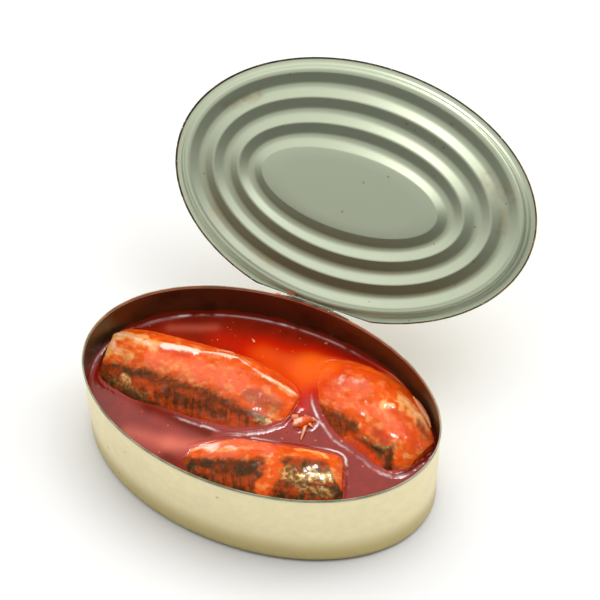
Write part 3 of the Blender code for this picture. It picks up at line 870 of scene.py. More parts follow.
def make_tin(settings):
    """Drawn oval body with a rolled lip: gold outside, bare lip, brown lining, with painted shade at the
    wall's foot, on the lip's outer side and in the lining.
    """
    profile = tin_profile(settings.tin)
    sides = settings.tin.sides
    rings = oval_rings([row[:2] for row in profile], TIN_HIGH.x, TIN_HIGH.y, sides)
    finishes = [gold_lacquer(settings.tin), lip_lacquer(settings.tin),
                lining_finish(settings.tin, settings.sauce)]
    body = add_body("tin_shell", rings.reshape(-1, 3), tube_faces(len(profile), sides), finishes,
                    math.radians(40.0))
    kinds = [row[2] for row in profile[:-1] for _ in range(sides)] + [0, 2]
    body.data.polygons.foreach_set("material_index", kinds)
    # Painted shade on the lip's outer side, strongest towards the front (dim).
    outward = np.array([row[0] for row in profile]) / (settings.tin.lip_round / 2.0)
    dim = np.interp(outward, (0.0, 0.15, 1.0, 1.4), (0.4, 1.0, 1.0, 0.0))[:, None]
    brush(body.data, "value", dim=dim * np.clip(0.35 - rings[..., 1] / (50.0 * MM), 0.25, 1.0))
    face_outwards(body)
    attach(body, "tin")
    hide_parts("tin_body")


# ---------------------------------------------------------------- lid

def seam_path(settings):
    """Middle line of the seam's outer sheet, (inset, height), from the cut edge over the bend."""
    skirt = settings.sheet / 2.0
    bend = RIM_Z + settings.seam_height - settings.sheet / 2.0 - settings.seam_radius
    cut = RIM_Z + settings.cut_gap
    path = [(skirt, cut + (bend - cut) * k / 6) for k in range(6)]
    return path + arc((skirt + settings.seam_radius, bend), settings.seam_radius, 180.0, 30.0, 10)


def panel_path(settings):
    """Middle line of the unribbed panel, (inset, height), from the chuck wall to the flat centre."""
    panel = RIM_Z - settings.panel_drop
    foot = settings.chuck_foot
    wall = [(-0.1, 2.25), (0.1, 1.95), (0.2, 0.8), (0.3, 0.35), (0.6, 0.08), (1.1, 0.0)]
    path = [(foot + d * MM, panel + z * MM) for d, z in wall]
    steps = RIB_STEPS * settings.rib_count
    span = settings.rib_pitch * settings.rib_count
    return path + [(settings.rib_start + span * k / steps, panel) for k in range(steps + 1)]


def both_faces(path, thickness):
    """The two faces of a sheet whose middle line is path."""
    outer, inner = [], []
    for i, (d, z) in enumerate(path):
        before = path[max(i - 1, 0)]
        after = path[min(i + 1, len(path) - 1)]
        run, rise = after[0] - before[0], after[1] - before[1]
        reach = math.hypot(run, rise)
        side = (-rise / reach * thickness / 2.0, run / reach * thickness / 2.0)
        outer.append((d + side[0], z + side[1]))
        inner.append((d - side[0], z - side[1]))
    return outer, inner


def lid_profile(settings):
    """Section of the lid, (inset, height, finish): out over its outer face, round the seam's closed
    folds and back over its inner face.  Finishes are 0 outside, 1 inside, 2 cut edge."""
    seam, panel = seam_path(settings), panel_path(settings)
    outer, inner = both_faces(seam + panel, settings.sheet)
    under, panel = RIM_Z + settings.seam_under, inner[-1][1]
    rows = [(d, z, 0) for d, z in outer[:1:-1]] + [(d, z, 2) for d, z in outer[1::-1]]
    rows += [(settings.sheet, RIM_Z + settings.cut_gap, 2)]
    fold = [(0.65, 0.55), (2.2, 0.50), (2.4, 0.45), (2.7, 0.28), (3.0, 0.08), (3.2, 0.0), (3.8, 0.0),
            (4.05, -0.04), (4.15, -0.2), (4.2, -1.2), (4.28, -1.65), (4.5, -1.88)]
    ring = [(d * MM, under + z * MM) for d, z in fold]
    return rows + [(d, z, 1) for d, z in ring + inner[len(seam) + 5:]]


def rib_tree():
    """Geometry nodes that press the ribs into the lid's flat panel by the distance from its edge."""
    sockets = [("Geometry", "Geometry", None), ("Start", "Float", 0.0), ("Pitch", "Float", 0.0),
               ("Depth", "Float", 0.0), ("Count", "Int", 0)]
    sockets += [(label, "Material", None) for label in LID_FINISHES]
    tree, entry, leave = new_group("Lid ribs", "GeometryNodeTree", sockets, ("Geometry", "Geometry"))
    inset = put(tree, "GeometryNodeInputNamedAttribute", {"Name": "inset"}, data_type="FLOAT").outputs[0]
    turn = calc(tree, "DIVIDE", calc(tree, "SUBTRACT", inset, entry["Start"]), entry["Pitch"])
    slope = calc(tree, "PINGPONG", times(tree, turn, 2.0), 1.0)
    slope = calc(tree, "MULTIPLY_ADD", slope, 1.0 + CREST_ROUND + VALLEY_ROUND, -VALLEY_ROUND)
    wave = calc(tree, "SMOOTH_MAX", calc(tree, "SMOOTH_MIN", slope, 1.0, CREST_ROUND), 0.0, VALLEY_ROUND)
    ribbed = times(tree, calc(tree, "GREATER_THAN", turn, 0.0), calc(tree, "LESS_THAN", turn, entry["Count"]))
    rise = times(tree, times(tree, wave, entry["Depth"]), ribbed)
    lift = put(tree, "ShaderNodeCombineXYZ", {"Z": rise}).outputs[0]
    pressed = put(tree, "GeometryNodeSetPosition", {"Geometry": entry["Geometry"], "Offset": lift})
    last = put(tree, "GeometryNodeRealizeInstances", {"Geometry": pressed.outputs[0]}).outputs[0]
    kind = put(tree, "GeometryNodeInputNamedAttribute", {"Name": "finish"}, data_type="INT").outputs[0]
    for number, label in enumerate(LID_FINISHES):
        chosen = put(tree, "FunctionNodeCompare", {2: kind, 3: number}, data_type="INT",
                     operation="EQUAL").outputs[0]
        feeds = {"Geometry": last, "Selection": chosen, "Material": entry[label]}
        last = put(tree, "GeometryNodeSetMaterial", feeds).outputs[0]
    tree.links.new(last, leave)
    return tree


def set_inputs(modifier, values):
    """Sets a geometry-nodes modifier's inputs by the names of the tree's sockets."""
    for item in modifier.node_group.interface.items_tree:
        if item.item_type == "SOCKET" and item.in_out == "INPUT" and item.name in values:
            modifier[item.identifier] = values[item.name]


def lid_blank(settings):
    """Unribbed lid shut on the tin, each point with its distance from the edge, each face its finish."""
    profile = lid_profile(settings)
    sides = settings.sides
    a, b = LID_HIGH.x, settings.half_width
    foot, limit, stretch = settings.chuck_foot, TIN_HIGH.y, settings.end_stretch
    turns = angles_round(sides)
    cosines, sines = np.cos(turns), np.sin(turns)
    rim = np.stack([a * cosines, b * sines, np.zeros(sides)], axis=1)
    ragged = TORN_DEPTH * np.clip(clouds_at(rim, TORN_SIZE) + 0.3, 0.0, 1.0)
    cut = RIM_Z + settings.cut_gap
    deep = settings.rib_start + settings.rib_count * settings.rib_pitch
    rows = []
    for inset, z, kind in profile:
        x = (a - inset * stretch) * cosines
        y = (b - inset) * sines
        if inset < foot:
            edge, inner = b * sines, (b - foot) * sines
            squeeze = (limit - inner) / np.where(edge > limit, edge - inner, 1.0)
            y = np.where(edge > limit, inner + (y - inner) * squeeze, y)
        y = y + settings.centre_shift * max(0.0, inset - foot) / (deep - foot)
        heights = np.full(sides, z)
        if kind == 2 and z <= cut:
            on_strip = (sines > 0.0) & (np.abs(x) < settings.strip_half)
            heights = np.where(on_strip, z - TORN_DEPTH, z + ragged)
        rows.append(np.stack([x, y, heights], axis=1))
    middle = [np.array([0.0, settings.centre_shift, z]) for z in (profile[0][1], profile[-1][1])]
    inward = [middle[1] + (rows[-1] - middle[1]) * share for share in (0.75, 0.5, 0.25)]
    outward = [middle[0] + (rows[0] - middle[0]) * share for share in (0.25, 0.5, 0.75)]
    deep += 1.0 * MM
    insets = [deep] * 3 + [row[0] for row in profile] + [deep] * 3
    kinds = [0] * 3 + [row[2] for row in profile] + [1] * 3
    points = np.vstack(outward + rows + inward + [middle])
    blank = add_body("lid_panel", points, fanned_faces(len(insets), sides), [])
    depths = np.append(np.repeat(insets, sides), [deep, deep])
    x, y = points[:, 0] / MM, points[:, 1] / MM
    ribbed = fade(depths, deep, -2.0 * MM)
    phase = ((depths - settings.rib_start) / settings.rib_pitch) % 1.0
    falling = fade(phase, 0.42, 0.10) * ribbed * (depths > settings.rib_start)
    left = fade(y, 4.0, 20.0) * fade(x, 22.0, -50.0)
    border = fade(depths, foot + 2.0 * MM, -MM)
    # Painted light and shade on the lid: brown reflection on the falling slopes towards the hinge, shade on
    # the other ribbed parts on the left, light on the border, most towards the hinge.
    brush(blank.data, "value", inset=depths, browned=fade(y, 0.0, 30.0) * falling,
          dulled=left * (1.0 - falling) * ribbed * fade(depths, foot, MM),
          lifted=border * (0.25 + 0.75 * fade(y, 0.0, 35.0)), stained=painted(LID_STAINS, x, y, 0.0))
    layer = blank.data.attributes.new("finish", "INT", "FACE")
    layer.data.foreach_set("value", np.repeat(kinds[:-1] + [0, 1], sides))
    face_outwards(blank)
    return blank


def make_lid(settings):
    """Ribbed lid, turned open about its hinge, with a dark torn edge."""
    lid = settings.lid
    body = lid_blank(lid)
    ribs = body.modifiers.new("ribs", "NODES")
    ribs.node_group = rib_tree()
    finishes = (bpy.data.materials["gold_lacquer"], lid_lacquer(lid), cut_edge_finish(lid))
    values = dict(zip(LID_FINISHES, finishes))
    values.update({"Start": lid.rib_start, "Pitch": lid.rib_pitch, "Depth": lid.rib_depth,
                   "Count": lid.rib_count})
    set_inputs(ribs, values)
    realised(body)
    body.data.set_sharp_from_angle(angle=math.radians(50.0))
    swing_open(body.data)
    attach(body, "lid")
    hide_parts("lid")


# ---------------------------------------------------------------- fish

def span_of(spec):
    """Length of a chunk in millimetres."""
    return np.linalg.norm(np.array(spec["right"]) - np.array(spec["left"]))


def end_shape(t, narrow):
    """Width and height of a chunk at t along it, 0 to 1: round shoulders and blunt cut ends."""
    left = np.minimum(1.0, t / LEFT_END)
    right = np.minimum(1.0, (1.0 - t) / RIGHT_END)
    width = 1.0 - (1.0 - narrow[0]) * (1.0 - left) ** 2 - (1.0 - narrow[1]) * (1.0 - right) ** 2
    shoulder = np.minimum(1.0, np.minimum(t, 1.0 - t) / SHOULDER)
    return width * (0.84 + 0.16 * np.sqrt(shoulder * (2.0 - shoulder)))


def kept_off_wall(points):
    """The points, drawn in towards the middle where they would come too near the tin's wall."""
    a = TIN_HIGH.x - WALL_INSIDE - WALL_CLEAR
    b = TIN_HIGH.y - WALL_INSIDE - WALL_CLEAR
    reach = np.maximum(1.0, np.hypot(points[..., 0] / a, points[..., 1] / b))
    points[..., 0] /= reach
    points[..., 1] /= reach
    return points


def chunk_rows(spec, sides, stations, cap_rings):
    """Points of a chunk (rows, sides, 3) with t along it, turn round it and the share of a cut end."""
    left = np.array(spec["left"]) * MM
    right = np.array(spec["right"]) * MM
    along = (right - left) / np.linalg.norm(right - left)
    across = np.array([-along[1], along[0]])
    even = np.arange(stations) / (stations - 1)
    t = (0.35 * (0.5 - 0.5 * np.cos(math.pi * even)) + 0.65 * even)[:, None]
    turn = angles_round(sides)[None, :]
    size = end_shape(t, spec["narrow"])
    sink = spec["drop"][0] * (1.0 - np.minimum(1.0, t / 0.5)) ** 2
    sink = sink + spec["drop"][1] * np.maximum(0.0, t - 0.5) ** 2 * 4.0
    floor = spec["floor"] * MM
    top = (spec["top"] - sink) * MM
    middle_z = floor + WIDEST * (top - floor)
    side, lift = np.cos(turn), np.sin(turn)
    uneven = 1.0 + 0.025 * np.sin(3.0 * turn + spec["phase"] + 5.0 * t)
    uneven = uneven + 0.018 * np.sin(9.0 * t + spec["phase"] + 2.0 * side)
    plump = np.sign(side) * np.abs(side) ** 0.86
    offset = plump * spec["half"] * MM * size * uneven
    offset = offset + spec["crest"] * MM * np.maximum(0.0, lift) ** 1.5
    reach = np.where(lift > 0.0, (top - middle_z) * (0.9 + 0.1 * size), middle_z - floor)
    height = np.sign(lift) * np.abs(lift) ** 0.9 * reach
    skew = spec["slant"][0] * (1.0 - t) + spec["slant"][1] * t
    bow = spec["bow"] * MM * np.sin(math.pi * t)
    axis = left[None, :] + (right - left)[None, :] * t + across[None, :] * bow
    points = np.empty((stations, sides, 3))
    for i in (0, 1):
        points[..., i] = axis[:, i:i + 1] + across[i] * offset + along[i] * offset * skew
    points[..., 2] = middle_z + height
    points = kept_off_wall(points)
    middles = np.concatenate([axis, middle_z], axis=1)
    bulge = np.array([along[0], along[1], 0.0]) * min(1.2 * MM, 0.1 * np.linalg.norm(right - left))
    shares = np.sin(np.linspace(0.04, 0.94, cap_rings) * math.pi / 2.0)
    lefts = [middles[0] + (points[0] - middles[0]) * s - bulge * (1.0 - s * s) for s in shares]
    rights = [middles[-1] + (points[-1] - middles[-1]) * s + bulge * (1.0 - s * s) for s in shares[::-1]]
    rows = kept_off_wall(np.concatenate([np.array(lefts), points, np.array(rights)]))
    along_t = np.concatenate([np.zeros(cap_rings), t[:, 0], np.ones(cap_rings)])
    cut = np.concatenate([shares, np.ones(stations), shares[::-1]])
    return rows, along_t, turn[0], cut


def off_stroke(stroke, x, y):
    """Distance from a brush stroke (x, y, x, y, half width, strength), in half widths."""
    x0, y0, x1, y1, half = stroke[:5]
    dx, dy = x1 - x0, y1 - y0
    along = np.clip(((x - x0) * dx + (y - y0) * dy) / max(dx * dx + dy * dy, 1e-9), 0.0, 1.0)
    return np.hypot(x - x0 - along * dx, y - y0 - along * dy) / half


def painted(strokes, x, y, ragged):
    """Soft field, 0 to 1, of brush strokes, their edges broken up by the ragged field of about -1 to 1."""
    field = np.zeros(len(x))
    for stroke in strokes:
        near = np.clip(STROKE_CORE - STROKE_FALL * (off_stroke(stroke, x, y) + ragged), 0.0, 1.0)
        field = np.maximum(field, stroke[5] * near * near * (3.0 - 2.0 * near))
    return field


def washed(strokes, places):
    """Soft field, 0 to 1, of overlapping washes seen from above; places in millimetres."""
    clear = np.ones(len(places))
    for stroke in strokes:
        far = off_stroke(stroke, places[:, 0], places[:, 1])
        clear *= 1.0 - stroke[5] * np.exp(-WASH_FALL * far * far)
    return 1.0 - clear


def chunk_fields(name, spec, t, turn, cut, points):
    """Every painted field of a chunk, sampled at its points."""
    paint = PAINT[name]
    stretch = span_of(spec) / (spec["half"] / 60.0)
    around = np.degrees(turn)
    ragged = clouds_at(points, 5.0 * MM, 5, spec["phase"]) * 0.8
    fields = {}
    for kind in BRUSHES:
        strokes = [(t0 * stretch, a0, t1 * stretch, a1, half, strength)
                   for t0, a0, t1, a1, half, strength in paint.get(kind, [])]
        fields[kind] = painted(strokes, t * stretch, around, 0.0 if kind == "ridge" else ragged)
    places = np.array(paint["skin_edge"], float)
    edge = np.interp(t, places[:, 0], places[:, 1])
    skin = fade(around + 4.0 * ragged - edge, -4.8, 12.0) * fade(around, SKIN_UNDER, -10.0)
    skin = np.maximum(skin, fade(around, FOOT_FROM, 10.0))
    skin = np.maximum(skin, fade(around - 5.0 * ragged, FOOT_TO, -6.0) * (edge < NO_SKIN))
    skin *= 1.0 - fields["bare"]
    fields["skin"] = skin * fade(cut, 0.93, 0.04)
    low = fade(points[:, 2] / MM, FILM_TOP, -FILM_FADE)
    fields["film"] = np.maximum(fields["film"], low * washed(THIN_SAUCE, points / MM))
    # Pink washed on low down from the sauce's rosy strokes: partly a painted sheen.
    fields["pink"] = np.maximum(fields["pink"], low * washed(PINK_SAUCE, points / MM))
    return fields


def relieved(body, depth):
    """Moves each point of the body along its normal by the depth."""
    mesh = body.data
    normals = np.empty(len(mesh.vertices) * 3, np.float32)
    mesh.vertex_normals.foreach_get("vector", normals)
    points = points_of(mesh) + normals.reshape(-1, 3) * depth[:, None]
    mesh.vertices.foreach_set("co", points.ravel())
    mesh.update()


def make_chunk(name, spec, settings, finish):
    """One piece of fish: uneven flesh with flake grooves, bared where the skin has torn away."""
    detail = spec.get("detail", 1.0)
    sides = max(24, int(settings.sides * detail))
    stations = max(16, int(settings.stations * detail))
    rings = max(4, int(settings.cap_rings * detail))
    rows, t, turn, cut = chunk_rows(spec, sides, stations, rings)
    count = len(rows)
    middles = rows.mean(axis=1)
    points = np.vstack([rows.reshape(-1, 3), 2.0 * middles[0] - middles[1], 2.0 * middles[-1] - middles[-2]])
    body = add_body(name + "_flesh", points, fanned_faces(count, sides), [finish])
    face_outwards(body)
    t_all = np.append(np.repeat(t, sides), [0.0, 1.0])
    turn_all = np.append(np.tile(turn, count), [0.0, 0.0])
    cut_all = np.append(np.repeat(cut, sides), [0.0, 0.0])
    fields = chunk_fields(name, spec, t_all, turn_all, cut_all, points)
    skin, film = fields["skin"], fields["film"]
    run = t_all * (span_of(spec) * MM)
    round_ = (turn_all / TAU) * spec["half"] * 5.2 * MM
    drops = np.clip(0.8 * (clouds_at(points, 3.0 * MM, 4, spec["phase"] + 7.0) - 0.3), 0.0, 0.6)
    brush_flesh(body.data, skin, fields["cream"], film, fields["pink"], fields["stripes"], fields["silver"],
                fields["dark"], fields["rust"], np.clip(drops + fields["wet"], 0.0, 1.0), fields["pale"],
                np.stack([run, round_, (1.0 - cut_all) * spec["half"] * MM], axis=1))
    lumps = clouds_at(points, spec.get("lump_size", 9.0) * MM, 3, spec["phase"]) * settings.lump
    fine = clouds_at(points, 2.4 * MM, 3, spec["phase"] + 2.0) * settings.lump * 0.35 * (1.0 - 0.8 * film)
    torn = clouds_at(points, 2.0 * MM, 3, spec["phase"] + 4.0) * 0.5 * MM
    torn *= fade(cut_all, 0.97, -0.1)
    chevron = run / settings.flake_pitch + 0.9 * np.abs(np.sin(turn_all - 1.2)) + 0.4 * lumps / settings.lump
    groove = np.abs((chevron % 1.0) - 0.5) * 2.0
    groove = -np.clip(1.0 - groove * 3.0, 0.0, 1.0) * settings.flake_depth * (1.0 - skin) * (1.0 - film)
    ridge = fields["ridge"] * settings.ridge_height
    scale = spec.get("lump_share", 1.0)
    relieved(body, (lumps + fine + torn + groove + ridge + skin * settings.skin_rise) * scale)
    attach(body, "tin")
    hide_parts(name)
    return body


# ---------------------------------------------------------------- sauce

def waterline(bodies, level):
    """Tree of the points where the fish pass through the level, with height dropped."""
    found = []
    for body in bodies:
        points = points_of(body.data)
        found.append(points[np.abs(points[:, 2] - level) < 1.0 * MM])
    points = np.concatenate(found)
    tree = kdtree.KDTree(len(points))
    for i, point in enumerate(points):
        tree.insert((point[0], point[1], 0.0), i)
    tree.balance()
    return tree


def make_sauce(settings, fish):
    """Pool of sauce from the tin's floor to its level, creeping up the wall and round the fish."""
    sauce, tin = settings.sauce, settings.tin
    inner = tin.lip_proud + tin.sheet - 0.1 * MM
    a, b = TIN_HIGH.x - inner, TIN_HIGH.y - inner
    sides = sauce.sides
    share = np.linspace(0.0, 1.0, sauce.rings)
    share = 0.02 + 0.98 * (1.0 - (1.0 - share) ** 1.5)
    turns = angles_round(sides)
    x = a * share[:, None] * np.cos(turns)[None, :]
    y = b * share[:, None] * np.sin(turns)[None, :]
    flat = np.stack([x.ravel(), y.ravel(), np.zeros(x.size)], axis=1)
    line = waterline(fish, sauce.level)
    far = np.array([line.find(p)[2] for p in flat])
    reach = np.tile(np.hypot(a * np.cos(turns), b * np.sin(turns)), sauce.rings)
    wall = (1.0 - np.repeat(share, sides)) * reach
    z = sauce.level + sauce.wall_creep * np.exp(-wall / WALL_FALL)
    mm = flat / MM
    ragged = clouds_at(flat, 20.0 * MM, 2, 2.0) * 0.4
    drift = mm[:, :2] + 2.5 * ragged[:, None]
    # The rosy field is partly a painted sheen of the sky.
    thin, rosy_film_and_sheen = washed(THIN_SAUCE, drift), washed(PINK_SAUCE, drift)
    back = fade(mm[:, 1], 8.0, 20.0) * (1.0 - thin)
    # Dark sauce along the fish's edges and in a narrow band at the back wall: partly painted shadow.
    murk_and_shadow = np.maximum(washed(MURK_AND_SHADOW, mm), back * fade(wall, 0.65 * MM, -0.5 * MM))
    cover = np.maximum(thin, 0.5 * rosy_film_and_sheen)
    z += (sauce.fish_creep + FILM_RISE * cover) * np.exp(-far / (FISH_FALL + FILM_REACH * cover))
    z += 0.12 * MM * clouds_at(flat, 16.0 * MM, 2, 1.0) + 0.03 * MM * clouds_at(flat, 3.0 * MM, 2, 5.0)
    top = np.stack([flat[:, 0], flat[:, 1], z], axis=1)
    foot = (tin.lip_proud + tin.foot_radius, tin.foot_radius)
    side = [(inner, 12.0 * MM)] + arc(foot, tin.foot_radius - tin.sheet + 0.1 * MM, 180.0, 270.0, 6)
    low = oval_rings(side, TIN_HIGH.x, TIN_HIGH.y, sides).reshape(-1, 3)
    body = add_body("sauce_pool", np.vstack([top, low]), tube_faces(sauce.rings + len(side), sides),
                    [sauce_finish(sauce)])
    near = np.maximum(thin, 0.15 * np.exp(-far / (2.5 * MM)) * (1.0 - rosy_film_and_sheen))
    shine = 0.75 * np.clip((22.0 - mm[:, 1]) / 18.0, 0.06, 1.0) * (1.0 - 0.8 * thin) * (1.0 - murk_and_shadow)
    shine = np.maximum(shine, painted(MAUVE, mm[:, 0], mm[:, 1], ragged))
    shine = np.maximum(shine, (1.0 - 0.9 * back) * np.exp(-wall / (1.6 * MM)))
    broken = np.clip(0.85 + 1.4 * clouds_at(flat, 5.0 * MM, 3, 8.0), 0.0, 1.0)
    gleams = [np.exp(-((gap / MM - off) / width) ** 2) * washed(strokes, mm) for gap, (off, width), strokes in
              ((far, FISH_LINE, GLEAM), (wall, WALL_LINE, WALL_GLEAM))]
    gleam = broken * np.maximum(*gleams)
    fields = dict(gleam=gleam, shine=shine, near=near, murk_and_shadow=murk_and_shadow, rosy_film_and_sheen=rosy_film_and_sheen)
    under = np.zeros(len(low))
    brush(body.data, "value", **{name: np.append(field, under) for name, field in fields.items()})
    face_outwards(body)
    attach(body, "tin")
    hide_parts("sauce")


# ---------------------------------------------------------------- small pieces

def surface_tree(body):
    """Search tree over a body's faces."""
    return bvhtree.BVHTree.FromPolygons([v.co for v in body.data.vertices],
                                        [tuple(f.vertices) for f in body.data.polygons])


def perch(trees, x, y):
    """Height of the highest surface in the trees over a place; all in millimetres."""
    hits = [tree.ray_cast(Vector((x * MM, y * MM, 0.1)), Vector((0.0, 0.0, -1.0)))[0] for tree in trees]
    return max([hit.z / MM for hit in hits if hit], default=0.0)


def lump(centre, radii, turn, seed, roughness=0.25):
    """Points and faces of an uneven flattened ball; centre and radii in millimetres."""
    bm = bmesh.new()
    bmesh.ops.create_icosphere(bm, subdivisions=4, radius=1.0)
    spin = Matrix.Rotation(turn, 3, "Z")
    points = []
    for vertex in bm.verts:
        swell = 1.0 + roughness * noise.fractal(vertex.co * 1.4 + Vector((seed, 0.0, 0.0)), 1.0, 2.0, 3)
        place = spin @ Vector([c * r * swell for c, r in zip(vertex.co, radii)])
        points.append((Vector(centre) + place) * MM)
    faces = [tuple(v.index for v in face.verts) for face in bm.faces]
    bm.free()
    return points, faces


def strand(path, widths, thickness, sides=16, steps=8):
    """Points and faces of a flat tapering strip along a path; all lengths in millimetres."""
    path = np.array(path, float)
    even = np.linspace(0.0, len(path) - 1.0, (len(path) - 1) * steps + 1)
    line = np.stack([np.interp(even, np.arange(len(path)), path[:, i]) for i in range(3)], axis=1)
    for _ in range(steps):
        line[1:-1] = 0.25 * line[:-2] + 0.5 * line[1:-1] + 0.25 * line[2:]
    wide = np.interp(even, np.arange(len(path)), widths)
    ahead = np.gradient(line, axis=0)
    ahead /= np.linalg.norm(ahead, axis=1)[:, None]
    across = np.cross(ahead, [0.0, 0.0, 1.0])
    across /= np.linalg.norm(across, axis=1)[:, None]
    up = np.cross(across, ahead)
    turns = angles_round(sides)
    thick = thickness * np.minimum(1.0, wide / max(widths) + 0.2)
    rows = [line[k] + np.outer(np.cos(turns), across[k]) * wide[k] + np.outer(np.sin(turns), up[k]) * thick[k]
            for k in range(len(line))]
    return [tuple(p) for p in np.concatenate(rows) * MM], tube_faces(len(rows), sides)


def add_parts(name, parts, finish, body, tone=None, shut=False):
    """One object made of several lumps or strands, riding the body; tone paints it as flesh.  Parts drawn
    on the shut lid are turned open with it."""
    points, faces = [], []
    for part_points, part_faces in parts:
        faces += [tuple(i + len(points) for i in face) for face in part_faces]
        points += part_points
    piece = add_body(name, points, faces, [finish])
    face_outwards(piece)
    if tone:
        even = np.ones(len(points))
        brush_flesh(piece.data, *[even * share for share in tone + (0.0, 0.0, 0.0, 0.0, 0.3, 0.0)], points)
    if shut:
        swing_open(piece.data)
    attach(piece, body)


def scatter_tree():
    """Geometry nodes that strew small round beads over a surface."""
    sockets = [("Geometry", "Geometry", None), ("Density", "Float", 0.0), ("Smallest", "Float", 0.0),
               ("Largest", "Float", 0.0), ("Seed", "Int", 0), ("Finish", "Material", None)]
    tree, entry, leave = new_group("Sauce beads", "GeometryNodeTree", sockets, ("Geometry", "Geometry"))
    spots = put(tree, "GeometryNodeDistributePointsOnFaces",
                {"Mesh": entry["Geometry"], "Density": entry["Density"], "Seed": entry["Seed"]})
    bead = put(tree, "GeometryNodeMeshIcoSphere", {"Radius": 1.0, "Subdivisions": 3})
    size = put(tree, "FunctionNodeRandomValue", {2: entry["Smallest"], 3: entry["Largest"],
                                                 "Seed": entry["Seed"]}, data_type="FLOAT")
    strewn = put(tree, "GeometryNodeInstanceOnPoints",
                 {"Points": spots.outputs["Points"], "Instance": bead.outputs["Mesh"],
                  "Scale": size.outputs[1]})
    real = put(tree, "GeometryNodeRealizeInstances", {"Geometry": strewn.outputs[0]})
    finished = put(tree, "GeometryNodeSetMaterial",
                   {"Geometry": real.outputs[0], "Material": entry["Finish"]})
    tree.links.new(finished.outputs[0], leave)
    return tree


def open_water(trees, level, sides=72, rings=36):
    """Points and faces of the pool's surface where no fish stands in it."""
    a, b = TIN_HIGH.x - 3.0 * MM, TIN_HIGH.y - 3.0 * MM
    share = np.linspace(0.03, 1.0, rings)[:, None]
    turns = angles_round(sides)[None, :]
    flat = np.stack([(a * share * np.cos(turns)).ravel(), (b * share * np.sin(turns)).ravel(),
                     np.full(rings * sides, level)], axis=1)
    down = Vector((0.0, 0.0, -1.0))
    wet = []
    for x, y, z in flat:
        hits = [tree.ray_cast(Vector((x, y, 0.1)), down, 0.1 - z + 2.0 * MM)[0] for tree in trees]
        wet.append(all(hit is None for hit in hits))
    return flat, [face for face in ring_faces(rings, sides) if all(wet[i] for i in face)]


def make_beads(name, points, faces, finish, values):
    """Beads strewn over a surface, as one plain mesh."""
    beads = add_body(name, points, faces, [])
    modifier = beads.modifiers.new("beads", "NODES")
    modifier.node_group = bpy.data.node_groups.get("Sauce beads") or scatter_tree()
    set_inputs(modifier, dict(values, Finish=finish))
    realised(beads)
    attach(beads, "tin")


def make_small_pieces(settings, fish):
    """Fin strip, loose shreds, crumbs, a ring of film, the smear on the lid, the crumb on the rim, the
    strip's fold, the crease in the rim, and the bubbles and specks in the sauce."""
    flesh, red = bpy.data.materials["fish_flesh"], bpy.data.materials["tomato_sauce"]
    level = settings.sauce.level / MM
    trees = [surface_tree(body) for body in fish]
    path = [(x, y, max(perch(trees, x, y), level + 2.0) + 0.5) for x, y in FIN_LINE]
    fin = strand(path, (0.4, 1.0, 1.1, 0.9, 0.3), 0.6)
    add_parts("fin_strip", [fin], flesh, "tin", (0.0, 0.0, 0.7, 0.0))
    star, *tips = [(x, y, level + z) for x, y, z in SHREDS]
    bits = [strand([star, [(s + t) / 2.0 + d for s, t, d in zip(star, tip, (0.4, -0.3, 0.3))], tip],
                   (1.1, 0.7, 0.25), 0.5) for tip in tips]
    bits.append(lump((13.8, 5.4, level + 0.5), (1.6, 1.4, 1.0), 0.3, 1.0))
    add_parts("loose_bits", bits, flesh, "tin", (0.0, 0.0, 0.5, 0.2))
    crumbs = [lump((x, y, level + 0.35), (long, 0.5, 0.35), turn, 9.0 + x, 0.4)
              for x, y, long, turn in CRUMBS]
    add_parts("pool_crumbs", crumbs, flesh, "tin", (0.0, 1.0, 0.0, 0.0))
    ring = [(-26.0 + 3.9 * math.cos(t) - 0.8 * math.sin(t), 20.4 + 1.6 * math.cos(t) + 1.3 * math.sin(t))
            for t in np.linspace(0.5, 6.0, 15)]
    ring = strand([(x, y, perch(trees, x, y) + 0.1) for x, y in ring], [0.1] + [0.33] * 13 + [0.1], 0.2)
    add_parts("film_bubble", [ring], flesh, "tin", (0.0, 0.8, 0.0, 0.3))
    edge = [lump((-10.6, 50.7, 44.62), (2.4, 0.9, 0.32), 0.1, 5.0, 0.3)]
    add_parts("lid_smear", edge, flesh, "lid", (0.0, 0.0, 0.2, 0.3), shut=True)
    crumb = [lump((-15.6, 50.4, 44.05), (1.2, 0.55, 0.4), 0.1, 6.0, 0.3)]
    add_parts("rim_crumb", crumb, flesh, "tin", (0.0, 1.0, 0.0, 0.0))
    hinge = [c / MM for c in HINGE_POINT]
    fold = [(x, hinge[1] - 0.05, hinge[2]) for x in FOLD_STEPS]
    fold = strand(fold, (0.2, 0.38, 0.4, 0.38, 0.2), 0.38)
    add_parts("strip_fold", [fold], bpy.data.materials["grey_green_lacquer"], "lid")
    # The crease takes the cut edge's nearly black finish: painted shade in the crease.
    rim = TIN_HIGH / MM
    crease = [(x, rim.y * math.sqrt(1.0 - (x / rim.x) ** 2) - 0.5, RIM_Z / MM) for x in CREASE_STEPS]
    crease = strand(crease, (0.2, 0.6, 0.6, 0.6, 0.6, 0.2), 0.2)
    add_parts("hinge_crease", [crease], bpy.data.materials["cut_edge"], "tin")
    points, faces = open_water(trees, settings.sauce.level)
    make_beads("sauce_bubbles", points, faces, red,
               {"Density": 9000.0, "Smallest": 0.12 * MM, "Largest": 0.42 * MM, "Seed": 3})
    make_beads("sauce_specks", points, faces, speck_finish(),
               {"Density": 3600.0, "Smallest": 0.08 * MM, "Largest": 0.30 * MM, "Seed": 8})


# ---------------------------------------------------------------- stage

